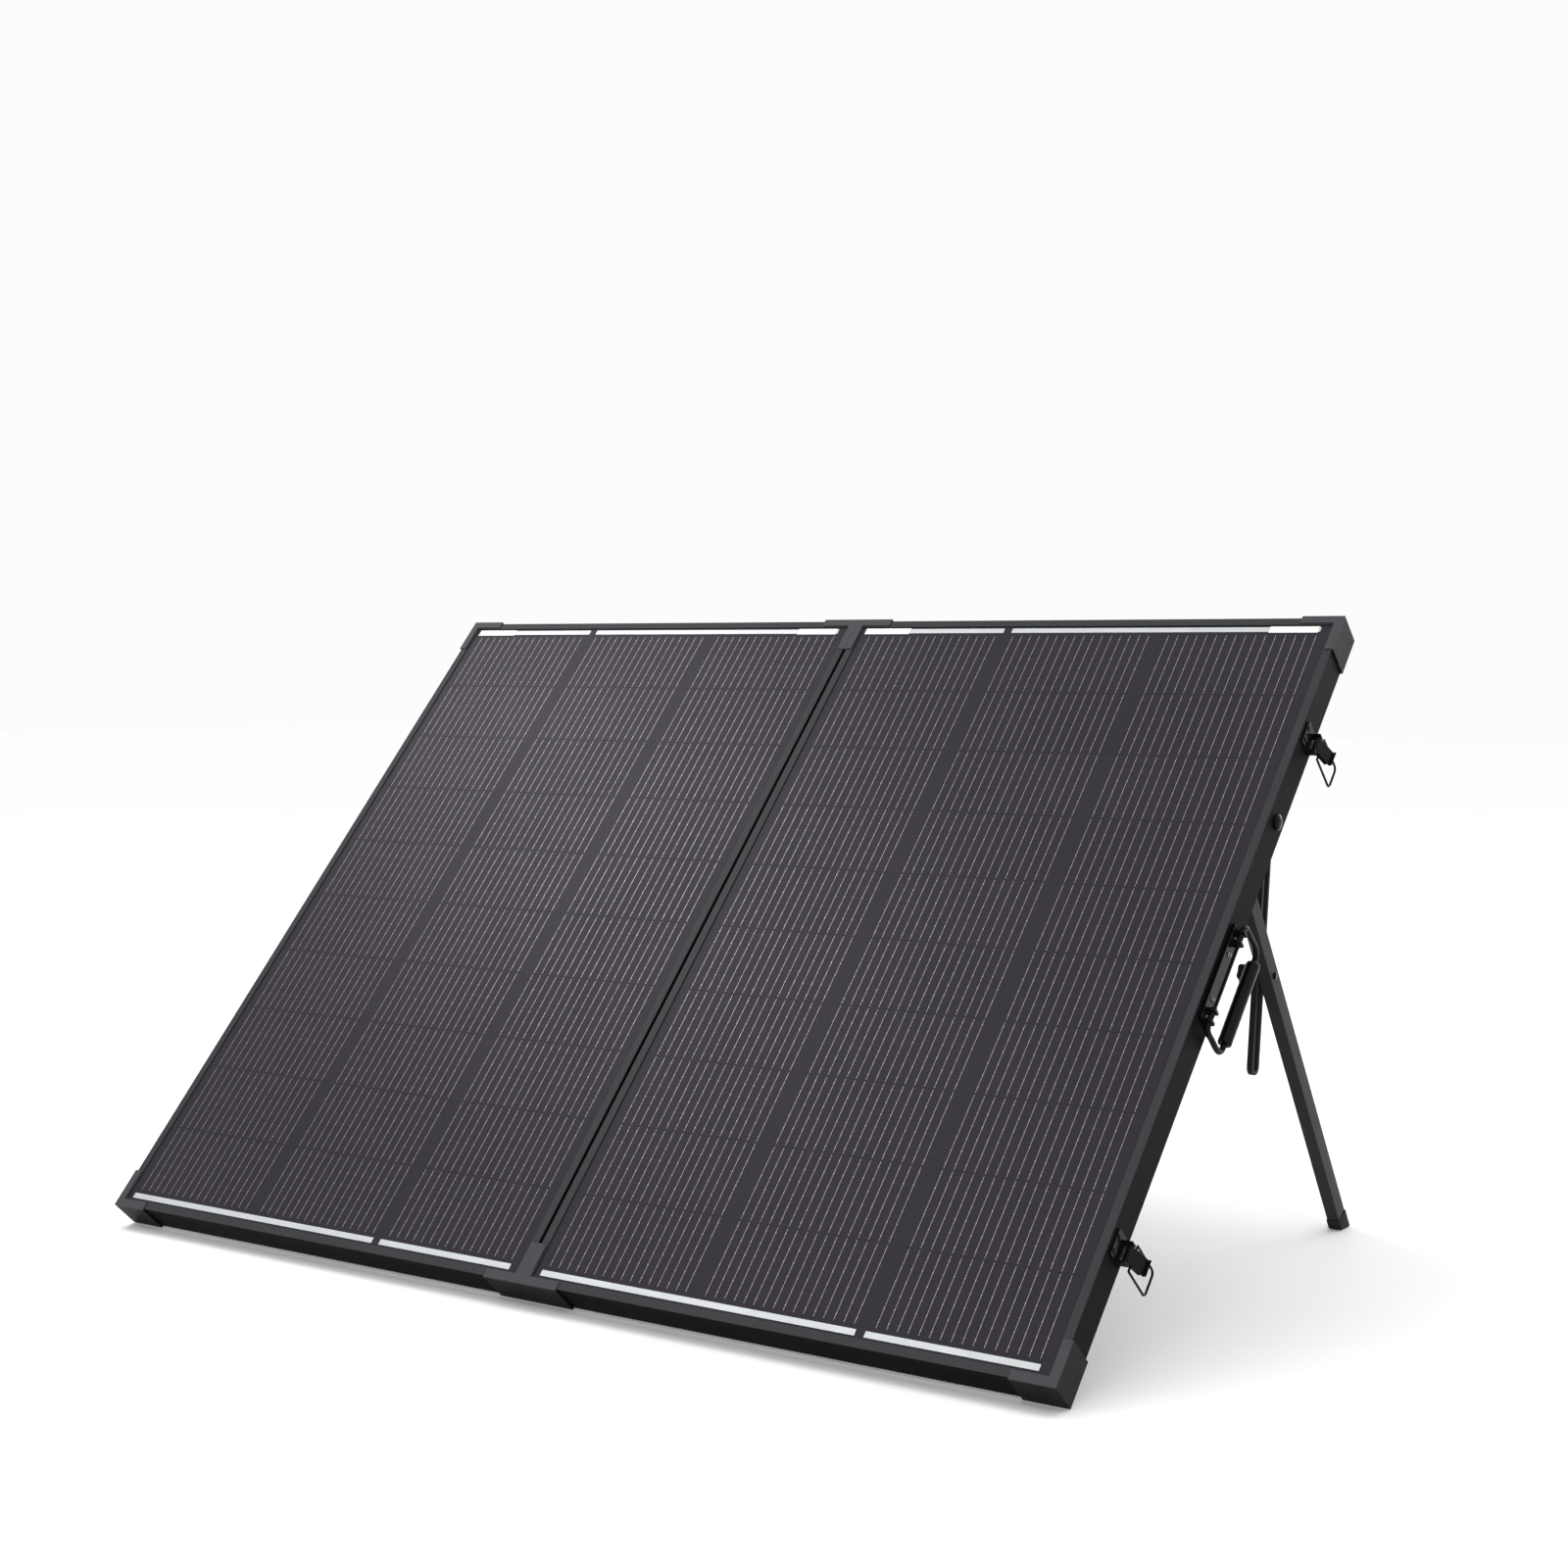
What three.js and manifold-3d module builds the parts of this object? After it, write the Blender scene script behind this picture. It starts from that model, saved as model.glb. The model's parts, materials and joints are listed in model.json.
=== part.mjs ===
// Folding solar suitcase: two framed panels hinged back to back, with rear legs,
// slotted struts, draw latches, a carrying handle and a charge controller.
// Millimetres, +Z up. The unit stands open, leaning back on its legs.
// Panel coordinates: u to the right from the seam, v up the panel, d back from the front.
import * as THREE from 'three';
import Module from 'manifold-3d';

const wasm = await Module();
wasm.setup();

// ---- driving dimensions ----
const PANEL_W = 590;
const PANEL_H = 891;
const THICK = 37.6;
const TILT = THREE.MathUtils.degToRad(46.8);
const GAP = 0.3;

// frame section
const FRAME_IN = 2;
const FRAME_FRONT = 1.3;
const FRAME_DEEP = 35;
const FRAME_BACK = FRAME_FRONT + FRAME_DEEP;
const WALL = 2.2;
const LIP = 9;
const FLANGE = 29;

// corner protectors
const GUARD_LEG = 46;
const GUARD_LIP = 9.5;
const GUARD_BACK = 31;
const GUARD_SKIN = 1;
const GUARD_WALL = 1.7;

// cells
const CELL_W = 182;
const CELL_PITCH_U = 188;
const CELL_PITCH_V = 84.4;
const CELL_ROWS = 10;
const CELL_V0 = 23.4;

// leg and strut, measured in the panel's own plane
const PIVOT_D = 20;
const LEG_V = 633;
const LEG_U0 = 526.5;
const LEG_U1 = 540.5;
const LEG_LONG = 574;
const LEG_DEEP = 18;
const FOOT_LONG = 20;
const CLAMP_AT = 203;
const STRUT_V = 848;
const STRUT_U0 = 519;
const STRUT_U1 = 525.5;
const STRUT_LONG = 430;
const STRUT_DEEP = 18;
const SLOT_FROM = 122;
const SLOT_HALF = 4.9;
const TOP_BOLT_U = 493;
const PIN_R = 4;
const HOLE_R = 4.25;

// fold hinge
const FOLD_D = 41.6;
const KNUCKLE_R = 4;
const HINGE_V = [102, 735];
const HINGE_LONG = 54;

// side fittings
const LATCH_V = [149, 741];
const LATCH_PIVOT = [594.5, 29];
const LEVER_OUT = THREE.MathUtils.degToRad(20);
const BAIL_ARM = 7.5;
const BAIL_LONG = 44;
const CATCH_OUT = 10.8;
const HANDLE_V = 445;
const HANDLE_PIVOT = [595, 20];
const GRIP_REACH = 42;

// charge controller
const SWING_V = 857.5;
const SWING_D = 38.6;
const CTRL_U = [65, 192];
const CTRL_V = [711, 813];
const CTRL_FACE = 33.5;

// ---- where the legs meet the floor ----
const RISE = THICK * Math.cos(TILT);
const legDrop = RISE + LEG_V * Math.sin(TILT) - PIVOT_D * Math.cos(TILT);
const LEG_ANGLE = Math.PI / 2 - TILT + Math.acos(legDrop / LEG_LONG);
const clampV = LEG_V - CLAMP_AT * Math.cos(LEG_ANGLE);
const clampD = PIVOT_D + CLAMP_AT * Math.sin(LEG_ANGLE);
const STRUT_ANGLE = Math.atan2(clampD - PIVOT_D, STRUT_V - clampV);

// ---- small tools ----
function solidOf(geo) {
  const plain = geo.clone();
  const pos = plain.index ? plain.toNonIndexed().attributes.position : plain.attributes.position;
  const seen = new Map();
  const verts = [];
  const tris = [];
  for (let i = 0; i < pos.count; i += 1) {
    const p = [pos.getX(i), pos.getY(i), pos.getZ(i)];
    const key = p.map((c) => Math.round(c * 1e4)).join();
    if (!seen.has(key)) {
      seen.set(key, verts.length / 3);
      verts.push(...p);
    }
    tris.push(seen.get(key));
  }
  const keep = [];
  for (let i = 0; i < tris.length; i += 3) {
    const [a, b, c] = tris.slice(i, i + 3);
    if (a !== b && b !== c && a !== c) keep.push(a, b, c);
  }
  const triVerts = new Uint32Array(keep);
  const vertProperties = new Float32Array(verts);
  return new wasm.Manifold(new wasm.Mesh({ numProp: 3, vertProperties, triVerts }));
}

function geoOf(solid) {
  const mesh = solid.getMesh();
  const geo = new THREE.BufferGeometry();
  geo.setAttribute('position', new THREE.BufferAttribute(new Float32Array(mesh.vertProperties), 3));
  geo.setIndex(new THREE.BufferAttribute(new Uint32Array(mesh.triVerts), 1));
  const flat = geo.toNonIndexed();
  flat.computeVertexNormals();
  return flat;
}

function join(...geos) {
  return geoOf(geos.map(solidOf).reduce((a, b) => a.add(b)));
}

function cut(geo, ...tools) {
  return geoOf(tools.map(solidOf).reduce((a, b) => a.subtract(b), solidOf(geo)));
}

function box(u0, u1, v0, v1, d0, d1) {
  const geo = new THREE.BoxGeometry(Math.abs(u1 - u0), Math.abs(v1 - v0), Math.abs(d1 - d0));
  return geo.translate((u0 + u1) / 2, (v0 + v1) / 2, -(d0 + d1) / 2);
}

function rodU(r, u0, u1, v, d, sides = 16) {
  const geo = new THREE.CylinderGeometry(r, r, Math.abs(u1 - u0), sides);
  return geo.rotateZ(Math.PI / 2).translate((u0 + u1) / 2, v, -d);
}

function rodV(r, v0, v1, u, d, sides = 16) {
  const geo = new THREE.CylinderGeometry(r, r, Math.abs(v1 - v0), sides);
  return geo.translate(u, (v0 + v1) / 2, -d);
}

function rodD(r, d0, d1, u, v, sides = 16) {
  const geo = new THREE.CylinderGeometry(r, r, Math.abs(d1 - d0), sides);
  return geo.rotateX(Math.PI / 2).translate(u, v, -(d0 + d1) / 2);
}

// an outline in u and v, made into a plate from depth d0 to d1
function plate(points, d0, d1, holes = []) {
  const shape = new THREE.Shape(points.map(([x, y]) => new THREE.Vector2(x, y)));
  holes.forEach((hole) => shape.holes.push(new THREE.Path(hole.map(([x, y]) => new THREE.Vector2(x, y)))));
  const geo = new THREE.ExtrudeGeometry(shape, { depth: d1 - d0, bevelEnabled: false });
  return geo.translate(0, 0, -d1);
}

function rounded(u0, u1, v0, v1, r, steps = 3) {
  const corners = [[u1 - r, v1 - r], [u0 + r, v1 - r], [u0 + r, v0 + r], [u1 - r, v0 + r]];
  const out = [];
  corners.forEach(([cu, cv], k) => {
    for (let i = 0; i <= steps; i += 1) {
      const a = (Math.PI / 2) * (k + i / steps);
      out.push([cu + r * Math.cos(a), cv + r * Math.sin(a)]);
    }
  });
  return out;
}

// an outline in v and z, made into a slab from u0 to u1
function slabU(points, u0, u1, holes = []) {
  const shape = new THREE.Shape(points.map(([y, z]) => new THREE.Vector2(y, z)));
  holes.forEach((hole) => shape.holes.push(hole));
  const geo = new THREE.ExtrudeGeometry(shape, { depth: u1 - u0, bevelEnabled: false, curveSegments: 8 });
  const turn = new THREE.Matrix4().makeBasis(
    new THREE.Vector3(0, 1, 0),
    new THREE.Vector3(0, 0, 1),
    new THREE.Vector3(1, 0, 0),
  );
  return geo.applyMatrix4(turn).translate(u0, 0, 0);
}

function ringOf(r, y = 0, z = 0, sides = 16) {
  const path = new THREE.Path();
  for (let i = 0; i <= sides; i += 1) {
    const a = (-2 * Math.PI * i) / sides;
    const p = [y + r * Math.cos(a), z + r * Math.sin(a)];
    if (i === 0) path.moveTo(...p);
    else path.lineTo(...p);
  }
  return path;
}

function tube(points, r, steps, sides = 8) {
  const curve = new THREE.CatmullRomCurve3(points.map(([u, v, d]) => new THREE.Vector3(u, v, -d)));
  const shape = new THREE.Shape();
  for (let i = 0; i < sides; i += 1) {
    const a = (2 * Math.PI * i) / sides;
    const p = [r * Math.cos(a), r * Math.sin(a)];
    if (i === 0) shape.moveTo(...p);
    else shape.lineTo(...p);
  }
  shape.closePath();
  return new THREE.ExtrudeGeometry(shape, { steps, extrudePath: curve, curveSegments: 1 });
}

// the same shape on the other side of the seam
function mirrored(geo) {
  const flat = (geo.index ? geo.toNonIndexed() : geo.clone()).scale(-1, 1, 1);
  const a = flat.attributes.position.array;
  for (let i = 0; i < a.length; i += 9) {
    for (let k = 0; k < 3; k += 1) {
      const t = a[i + 3 + k];
      a[i + 3 + k] = a[i + 6 + k];
      a[i + 6 + k] = t;
    }
  }
  flat.computeVertexNormals();
  return flat;
}

const LOOKS = {
  anodised: [0x2c2c2d, 0.42, 0.85],
  guard: [0x1f1f20, 0.6, 0],
  laminate: [0x2b292d, 0.25, 0],
  cell: [0x35323a, 0.25, 0.1],
  coated: [0x262627, 0.5, 0.3],
  black_steel: [0x1b1b1c, 0.3, 0.7],
  plastic: [0x222224, 0.55, 0],
  grip: [0x151516, 0.45, 0],
  rubber: [0x181818, 0.85, 0],
  cable: [0x1a1a1b, 0.6, 0],
  screen: [0xb9c2ae, 0.3, 0],
  button: [0x58b4c4, 0.45, 0],
};

function mesh(name, look, geo) {
  const [color, roughness, metalness] = LOOKS[look];
  const out = new THREE.Mesh(geo, new THREE.MeshStandardMaterial({ color, roughness, metalness }));
  out.name = name;
  return out;
}

// ---- one panel ----
const RAIL = [
  [0, 0], [LIP, 0], [LIP, 1.8], [WALL, 1.8], [WALL, 6.4], [12, 6.4], [12, 8], [WALL, 8],
  [WALL, FRAME_DEEP - 2], [FLANGE, FRAME_DEEP - 2], [FLANGE, FRAME_DEEP], [0, FRAME_DEEP],
];

function rail(long, origin, inward, along) {
  const shape = new THREE.Shape(RAIL.map(([x, y]) => new THREE.Vector2(x, y)));
  const geo = new THREE.ExtrudeGeometry(shape, { depth: long, bevelEnabled: false });
  const pos = geo.attributes.position;
  const half = GAP / 2;
  for (let i = 0; i < pos.count; i += 1) {
    const end = pos.getZ(i) > long / 2;
    pos.setZ(i, end ? long - pos.getX(i) - half : pos.getX(i) + half);
  }
  const back = new THREE.Vector3(0, 0, -1);
  const turn = new THREE.Matrix4().makeBasis(inward, back, along);
  if (turn.determinant() < 0) {
    const a = pos.array;
    for (let i = 0; i < a.length; i += 9) {
      for (let k = 0; k < 3; k += 1) {
        const t = a[i + 3 + k];
        a[i + 3 + k] = a[i + 6 + k];
        a[i + 6 + k] = t;
      }
    }
  }
  geo.applyMatrix4(turn).translate(...origin);
  geo.computeVertexNormals();
  return geo;
}

function rails() {
  const u1 = PANEL_W - FRAME_IN;
  const v1 = PANEL_H - FRAME_IN;
  const tall = v1 - FRAME_IN;
  const wide = u1 - FRAME_IN;
  const x = new THREE.Vector3(1, 0, 0);
  const y = new THREE.Vector3(0, 1, 0);
  const low = [FRAME_IN, FRAME_IN, -FRAME_FRONT];
  return {
    inner_stile: rail(tall, low, x, y),
    outer_stile: cut(
      rail(tall, [u1, FRAME_IN, -FRAME_FRONT], x.clone().negate(), y),
      rodU(PIN_R + 0.4, u1 - 5, u1 + 3, LEG_V, PIVOT_D),
    ),
    bottom_rail: rail(wide, low, y, x),
    top_rail: cut(
      rail(wide, [FRAME_IN, v1, -FRAME_FRONT], y.clone().negate(), x),
      rodV(3.4, v1 - 5, v1 + 3, TOP_BOLT_U, PIVOT_D, 12),
    ),
  };
}

function cornerGuard() {
  const ell = (w) => [[0, 0], [GUARD_LEG, 0], [GUARD_LEG, w], [w, w], [w, GUARD_LEG], [0, GUARD_LEG]];
  const shell = join(
    plate(ell(GUARD_LIP), 0, GUARD_SKIN),
    plate(ell(GUARD_WALL), 0, THICK),
    plate(ell(GUARD_BACK), THICK - GUARD_SKIN, THICK),
  );
  const deep = THICK - 0.45;
  return cut(
    shell,
    box(8, 9.2, 8, 40, deep, THICK + 1),
    box(8, 40, 8, 9.2, deep, THICK + 1),
  );
}

function cornerGuards() {
  const one = cornerGuard();
  const turn = (a, u, v) => one.clone().rotateZ(a).translate(u, v, 0);
  return {
    lower_inner_guard: turn(0, 0, 0),
    lower_outer_guard: turn(Math.PI / 2, PANEL_W, 0),
    upper_outer_guard: turn(Math.PI, PANEL_W, PANEL_H),
    upper_inner_guard: turn(-Math.PI / 2, 0, PANEL_H),
  };
}

function laminate() {
  const edge = FRAME_IN + WALL + GAP;
  const front = FRAME_FRONT + 1.8 + GAP;
  return box(edge, PANEL_W - edge, edge, PANEL_H - edge, front, front + 4);
}

// three strings of cells, joined by the ribbons at their ends
function cells() {
  const u = PANEL_W / 2;
  const v0 = CELL_V0;
  const v1 = CELL_V0 + CELL_ROWS * CELL_PITCH_V;
  const wide = CELL_PITCH_U + CELL_W / 2;
  const slit = (i) => {
    const a = u + (i - 0.5) * CELL_PITCH_U - (CELL_PITCH_U - CELL_W) / 2;
    const b = a + CELL_PITCH_U - CELL_W;
    const off = 0.6 * i;
    return [[a, v0 + off], [a, v1 - off], [b, v1 - off - 0.3], [b, v0 + off + 0.3]];
  };
  const outline = [[u - wide, v0 - 9], [u + wide, v0 - 9], [u + wide, v1 + 9], [u - wide, v1 + 9]];
  return plate(outline, 2.65, 3.05, [slit(0), slit(1)]);
}

function domeHead(r, h) {
  const profile = [[0, 0], [r, 0], [r, h * 0.4], [r * 0.75, h * 0.8], [r * 0.35, h], [0, h]];
  return new THREE.LatheGeometry(profile.map(([x, y]) => new THREE.Vector2(x, y)), 14);
}

// a folded box under the top rail with the strut's pin through it, held by one bolt
function strutBracket() {
  const shell = cut(
    box(477, 516.5, 836, 884, 10, 33.5),
    box(479, 514.5, 838, 882, 9, 31.5),
  );
  const top = PANEL_H - FRAME_IN + GAP;
  return join(
    shell,
    rodU(PIN_R, 474, 527, STRUT_V, PIVOT_D),
    rodU(6.5, 526, 529, STRUT_V, PIVOT_D, 6),
    rodU(6.5, 473, 477.5, STRUT_V, PIVOT_D, 6),
    rodV(3, 883, top + 0.5, TOP_BOLT_U, PIVOT_D, 12),
    domeHead(7, 3.6).translate(TOP_BOLT_U, top, -PIVOT_D),
  );
}

// a folded box on the outer stile; its bolt comes in through the stile and carries the leg
function legBracket() {
  const shell = cut(
    box(541.7, 585.3, 601, 649, 10, 33.5),
    box(543.7, 586, 603, 647, 9, 31.5),
  );
  const side = PANEL_W - FRAME_IN + GAP;
  return join(
    shell,
    rodU(PIN_R, 527.5, side + 0.5, LEG_V, PIVOT_D),
    domeHead(8, 4.2).rotateZ(-Math.PI / 2).translate(side, LEG_V, -PIVOT_D),
    domeHead(3.4, 2).rotateX(-Math.PI / 2).translate(552, 609, -33.4),
  );
}

function foldLeaf(v0) {
  const leaf = box(2.8, 22, v0, v0 + HINGE_LONG, FRAME_BACK + GAP, FRAME_BACK + 1.8);
  const screws = [-17, 0, 17].map((dv, k) => {
    const v = v0 + HINGE_LONG / 2 + dv;
    return rodD(3.3, FRAME_BACK + 1.5, FRAME_BACK + 2.6, k === 1 ? 10 : 15, v, 10);
  });
  return join(leaf, ...screws);
}

function rightLeaf(v0) {
  const ends = [[v0, v0 + 17.8], [v0 + 36.2, v0 + HINGE_LONG]];
  const web = (a, b) => box(0, 4, a, b, FRAME_BACK + 1.1, FOLD_D);
  return join(
    foldLeaf(v0),
    ...ends.flatMap(([a, b]) => [rodV(KNUCKLE_R, a, b, 0, FOLD_D), web(a, b)]),
    rodV(1.7, v0 + 1, v0 + HINGE_LONG - 1, 0, FOLD_D, 12),
  );
}

function leftLeaf(v0) {
  const a = v0 + 18.1;
  const b = v0 + 35.9;
  const web = box(0, 4, a, b, FRAME_BACK + 1.1, FOLD_D);
  return cut(
    join(foldLeaf(v0), rodV(KNUCKLE_R, a, b, 0, FOLD_D), web),
    rodV(2, a - 2, b + 2, 0, FOLD_D, 12),
  );
}

// a box with rounded corners, a hanging tab, four side clips and its cable glands
function junctionBox(uc, vc, glands) {
  const body = plate(rounded(uc - 41, uc + 41, vc - 32, vc + 32, 7), 7.7, 22);
  const tab = cut(
    box(uc - 6, uc + 6, vc + 30, vc + 40, 7.7, 11),
    rodD(2.4, 6, 13, uc, vc + 35, 10),
  );
  const clips = [-1, 1].flatMap((s) => [-20, 14].map((dv) => (
    box(uc + s * 40, uc + s * 45.5, vc + dv - 6, vc + dv + 6, 15, 25)
  )));
  const necks = glands.map((u) => {
    const profile = [[0, -25], [5.2, -25], [7.4, -21], [8.3, -14], [8.3, -4], [6.8, -3], [6.8, 2], [0, 2]];
    const geo = new THREE.LatheGeometry(profile.map(([x, y]) => new THREE.Vector2(x, y)), 12);
    return geo.translate(u, vc - 32, -17);
  });
  const lid = cut(
    plate(rounded(uc - 39, uc + 39, vc - 31, vc + 31, 6), 21.5, 28.6),
    plate([[uc - 60, vc - 60], [uc + 60, vc - 60], [uc + 60, vc - 9], [uc - 60, vc + 3]], 27.6, 30),
    box(uc - 22, uc + 22, vc + 8, vc + 20, 27.4, 30),
    box(uc - 26, uc + 26, vc - 22, vc - 14, 26.6, 30),
  );
  return join(body, lid, tab, ...clips, ...necks);
}

// ---- leg, strut and clamp knob, each hanging from its own pivot ----
function legBar() {
  const half = LEG_DEEP / 2;
  const end = -(LEG_LONG - FOOT_LONG);
  const outline = [[end, -half], [0, -half]];
  for (let i = 1; i < 8; i += 1) {
    const a = -Math.PI / 2 + (Math.PI * i) / 8;
    outline.push([half * Math.cos(a), half * Math.sin(a)]);
  }
  outline.push([0, half], [end, half]);
  return slabU(outline, LEG_U0, LEG_U1, [ringOf(HOLE_R), ringOf(3.3, -CLAMP_AT, 0, 12)]);
}

// the sole is cut level with the floor when the leg is open
function legFoot() {
  const half = LEG_DEEP / 2 + 1;
  const slope = Math.tan(TILT + LEG_ANGLE - Math.PI / 2);
  const top = -(LEG_LONG - FOOT_LONG) - GAP;
  const sole = (z) => -LEG_LONG + slope * z;
  return slabU([[sole(-half), -half], [top, -half], [top, half], [sole(half), half]], LEG_U0 - 1, LEG_U1 + 1);
}

function strutBar() {
  const half = STRUT_DEEP / 2;
  const arc = (y, z, r, from, to, n) => {
    const out = [];
    for (let i = 0; i <= n; i += 1) {
      const a = from + ((to - from) * i) / n;
      out.push([y + r * Math.cos(a), z + r * Math.sin(a)]);
    }
    return out;
  };
  const q = Math.PI / 2;
  const outline = [...arc(0, 0, half, -q, q, 8), ...arc(-STRUT_LONG + half, 0, half, q, 3 * q, 8)];
  const slotEnd = -STRUT_LONG + half;
  const slot = [
    ...arc(-SLOT_FROM - SLOT_HALF, 0, SLOT_HALF, -q, q, 6),
    ...arc(slotEnd, 0, SLOT_HALF, q, 3 * q, 6),
  ].reverse();
  const hole = new THREE.Path(slot.map(([y, z]) => new THREE.Vector2(y, z)));
  return slabU(outline, STRUT_U0, STRUT_U1, [ringOf(HOLE_R), hole]);
}

function starKnob() {
  const lobes = [];
  for (let i = 0; i < 40; i += 1) {
    const a = (2 * Math.PI * i) / 40;
    const r = 10.2 + 1.3 * Math.cos(5 * a);
    lobes.push([r * Math.cos(a), r * Math.sin(a)]);
  }
  return join(
    slabU(lobes, 502, 513),
    rodU(6, 512, 518.3, 0, 0, 16),
    rodU(3, 517, 545, 0, 0, 12),
    rodU(5.4, 541.2, 545, 0, 0, 6),
  );
}

// ---- side fittings of the right panel ----
function latchBase(v) {
  const side = PANEL_W - FRAME_IN + GAP;
  const [pu, pd] = LATCH_PIVOT;
  return join(
    box(side, side + 1.6, v - 13, v + 13, 8, 31),
    ...[-1, 1].map((s) => box(side + 1, pu + 3, v + s * 9.4, v + s * 10.9, 24, 32.5)),
    rodV(1.5, v - 11.6, v + 11.6, pu, pd, 12),
    ...[-7, 7].map((dv) => rodU(2.6, side + 1, side + 2.6, v + dv, 13, 10)),
  );
}

// lever along the depth from its pivot, with holes for the wire bail
function latchLever() {
  const arms = [-1, 1].map((s) => box(-2.2, 2.6, s * 6.6, s * 8.2, 1, 21));
  return cut(
    join(
      rodV(3.2, -8.2, 8.2, 0, 0, 14),
      box(1.2, 2.6, -8.2, 8.2, 1, 24),
      box(1.2, 5.2, -8.2, 8.2, 22.6, 24),
      ...arms,
    ),
    rodV(1.8, -10, 10, 0, 0, 12),
    rodV(1.5, -10, 10, 0, BAIL_ARM, 12),
  );
}

// a wire loop that leaves its pivot and runs straight back
function latchBail() {
  const w = 12.9;
  const r = 1.1;
  return join(
    rodV(r, -w - r, w + r, 0, 0, 8),
    rodV(r, -w - r, w + r, 0, BAIL_LONG, 8),
    rodD(r, 0, BAIL_LONG, 0, -w, 8),
    rodD(r, 0, BAIL_LONG, 0, w, 8),
  );
}

function catchPlate(v) {
  const side = PANEL_W - FRAME_IN + GAP;
  return join(
    box(side, side + 1.6, v - 10, v + 10, 8, 30),
    box(side, side + CATCH_OUT, v - 9.5, v + 9.5, 19.4, 21.4),
    box(side + CATCH_OUT - 1.6, side + CATCH_OUT, v - 9.5, v + 9.5, 18.2, 21.4),
    ...[-5.5, 5.5].map((dv) => rodU(2.4, side + 1, side + 2.4, v + dv, 26, 10)),
  );
}

function handleBase() {
  const side = PANEL_W - FRAME_IN + GAP;
  const [pu, pd] = HANDLE_PIVOT;
  const half = 54;
  const lug = (s) => [
    box(side + 1, pu + 4, HANDLE_V + s * (half - 1), HANDLE_V + s * (half - 4), pd - 4.5, pd + 4.5),
    box(side + 1, pu + 4, HANDLE_V + s * (half - 13), HANDLE_V + s * (half - 16), pd - 4.5, pd + 4.5),
  ];
  const shell = join(
    box(side, side + 2, HANDLE_V - half, HANDLE_V + half, pd - 12, pd + 11),
    box(side, side + 3.4, HANDLE_V - half, HANDLE_V + half, pd - 12, pd - 9.6),
    box(side, side + 3.4, HANDLE_V - half, HANDLE_V + half, pd + 8.6, pd + 11),
    ...lug(1),
    ...lug(-1),
    ...[-26, 26].map((dv) => rodU(3.2, side + 1, side + 3.6, HANDLE_V + dv, pd, 12)),
  );
  const hole = (s) => rodV(3.5, HANDLE_V + s * (half - 0.5), HANDLE_V + s * (half - 17), pu, pd, 14);
  return cut(shell, hole(1), hole(-1));
}

// the rod turns in the lugs, runs back, and carries the grip on its far bar
function handleBail() {
  const w = 60.5;
  const g = GRIP_REACH;
  const out = [[0, 36, 0], [0, 45, 0], [0, 54, 0], [0, w - 1.6, 1.6], [0, w, 6], [0, w, 14], [0, w, g - 12]];
  const turn = [[0, w - 1.5, g - 5], [0, w - 5.5, g - 1], [0, w - 11, g], [0, w - 20, g]];
  const half = [...out, ...turn];
  const other = half.map(([u, v, d]) => [u, -v, d]).reverse();
  return tube([...half, [0, 20, g], [0, -20, g], ...other], 3, 40, 8);
}

function handleGrip() {
  const profile = [[3.5, -47], [6.2, -47], [7, -45], [7, 45], [6.2, 47], [3.5, 47], [3.5, -47]];
  const geo = new THREE.LatheGeometry(profile.map(([x, y]) => new THREE.Vector2(x, y)), 18);
  return geo.translate(0, 0, -GRIP_REACH);
}

// ---- charge controller on its hinged tray ----
const BUTT_U = [[58, 110], [144, 198]];

function controllerFixedLeaves() {
  return BUTT_U.flatMap(([a, b]) => {
    const third = (b - a) / 3;
    const web = (p, q) => box(p, q, SWING_V, SWING_V + 3.4, FRAME_BACK - 0.5, SWING_D);
    const ends = [[a, a + third - 0.2], [b - third + 0.2, b]];
    return [
      box(a, b, 860, 880, FRAME_BACK - 0.5, FRAME_BACK + 1.5),
      ...ends.flatMap(([p, q]) => [rodU(2, p, q, SWING_V, SWING_D, 12), web(p, q)]),
      rodU(0.8, a + 1, b - 1, SWING_V, SWING_D, 8),
      ...[-18, 0, 18].map((du) => rodD(3, 37.5, 38.9, (a + b) / 2 + du, 872, 10)),
    ];
  });
}

// the moving leaves, the front plate, the step down and the tray are one welded piece
function controllerTray() {
  const leaves = BUTT_U.flatMap(([a, b]) => {
    const third = (b - a) / 3;
    const p = a + third + 0.2;
    const q = b - third - 0.2;
    return [
      box(a, b, 832, 854, FRAME_BACK - 0.2, FRAME_BACK + 1.5),
      cut(
        join(rodU(2, p, q, SWING_V, SWING_D, 12), box(p, q, 853, SWING_V, FRAME_BACK + 0.4, FRAME_BACK + 1.9)),
        rodU(1, p - 2, q + 2, SWING_V, SWING_D, 8),
      ),
      ...[-18, 0, 18].map((du) => rodD(3, 37.5, 38.9, (a + b) / 2 + du, 840, 10)),
    ];
  });
  const screws = [52, 203].flatMap((u) => [725, 783].map((v) => rodD(4, 10, 13.4, u, v, 12)));
  return join(
    box(41, 213, 824, 854.5, FRAME_BACK - 1.7, FRAME_BACK),
    box(41, 213, 822.4, 824, 9.2, FRAME_BACK),
    box(41, 213, 703, 823, 9.2, 10.8),
    box(41, 42.6, 703, 824, 9.2, 17),
    box(211.4, 213, 703, 824, 9.2, 17),
    ...leaves,
    ...screws,
  );
}

function controllerHousing() {
  const [u0, u1] = CTRL_U;
  const [v0, v1] = CTRL_V;
  const foot = plate(rounded(u0, u1, v0, v1, 4, 2), 11.1, 26);
  const ribs = [-1, 1].flatMap((s) => [-26, 0, 26].map((dv) => {
    const u = s < 0 ? u0 : u1;
    return box(u - 2, u + 2, 762 + dv - 8, 762 + dv + 8, 14, 23);
  }));
  return join(foot, ...ribs);
}

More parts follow.
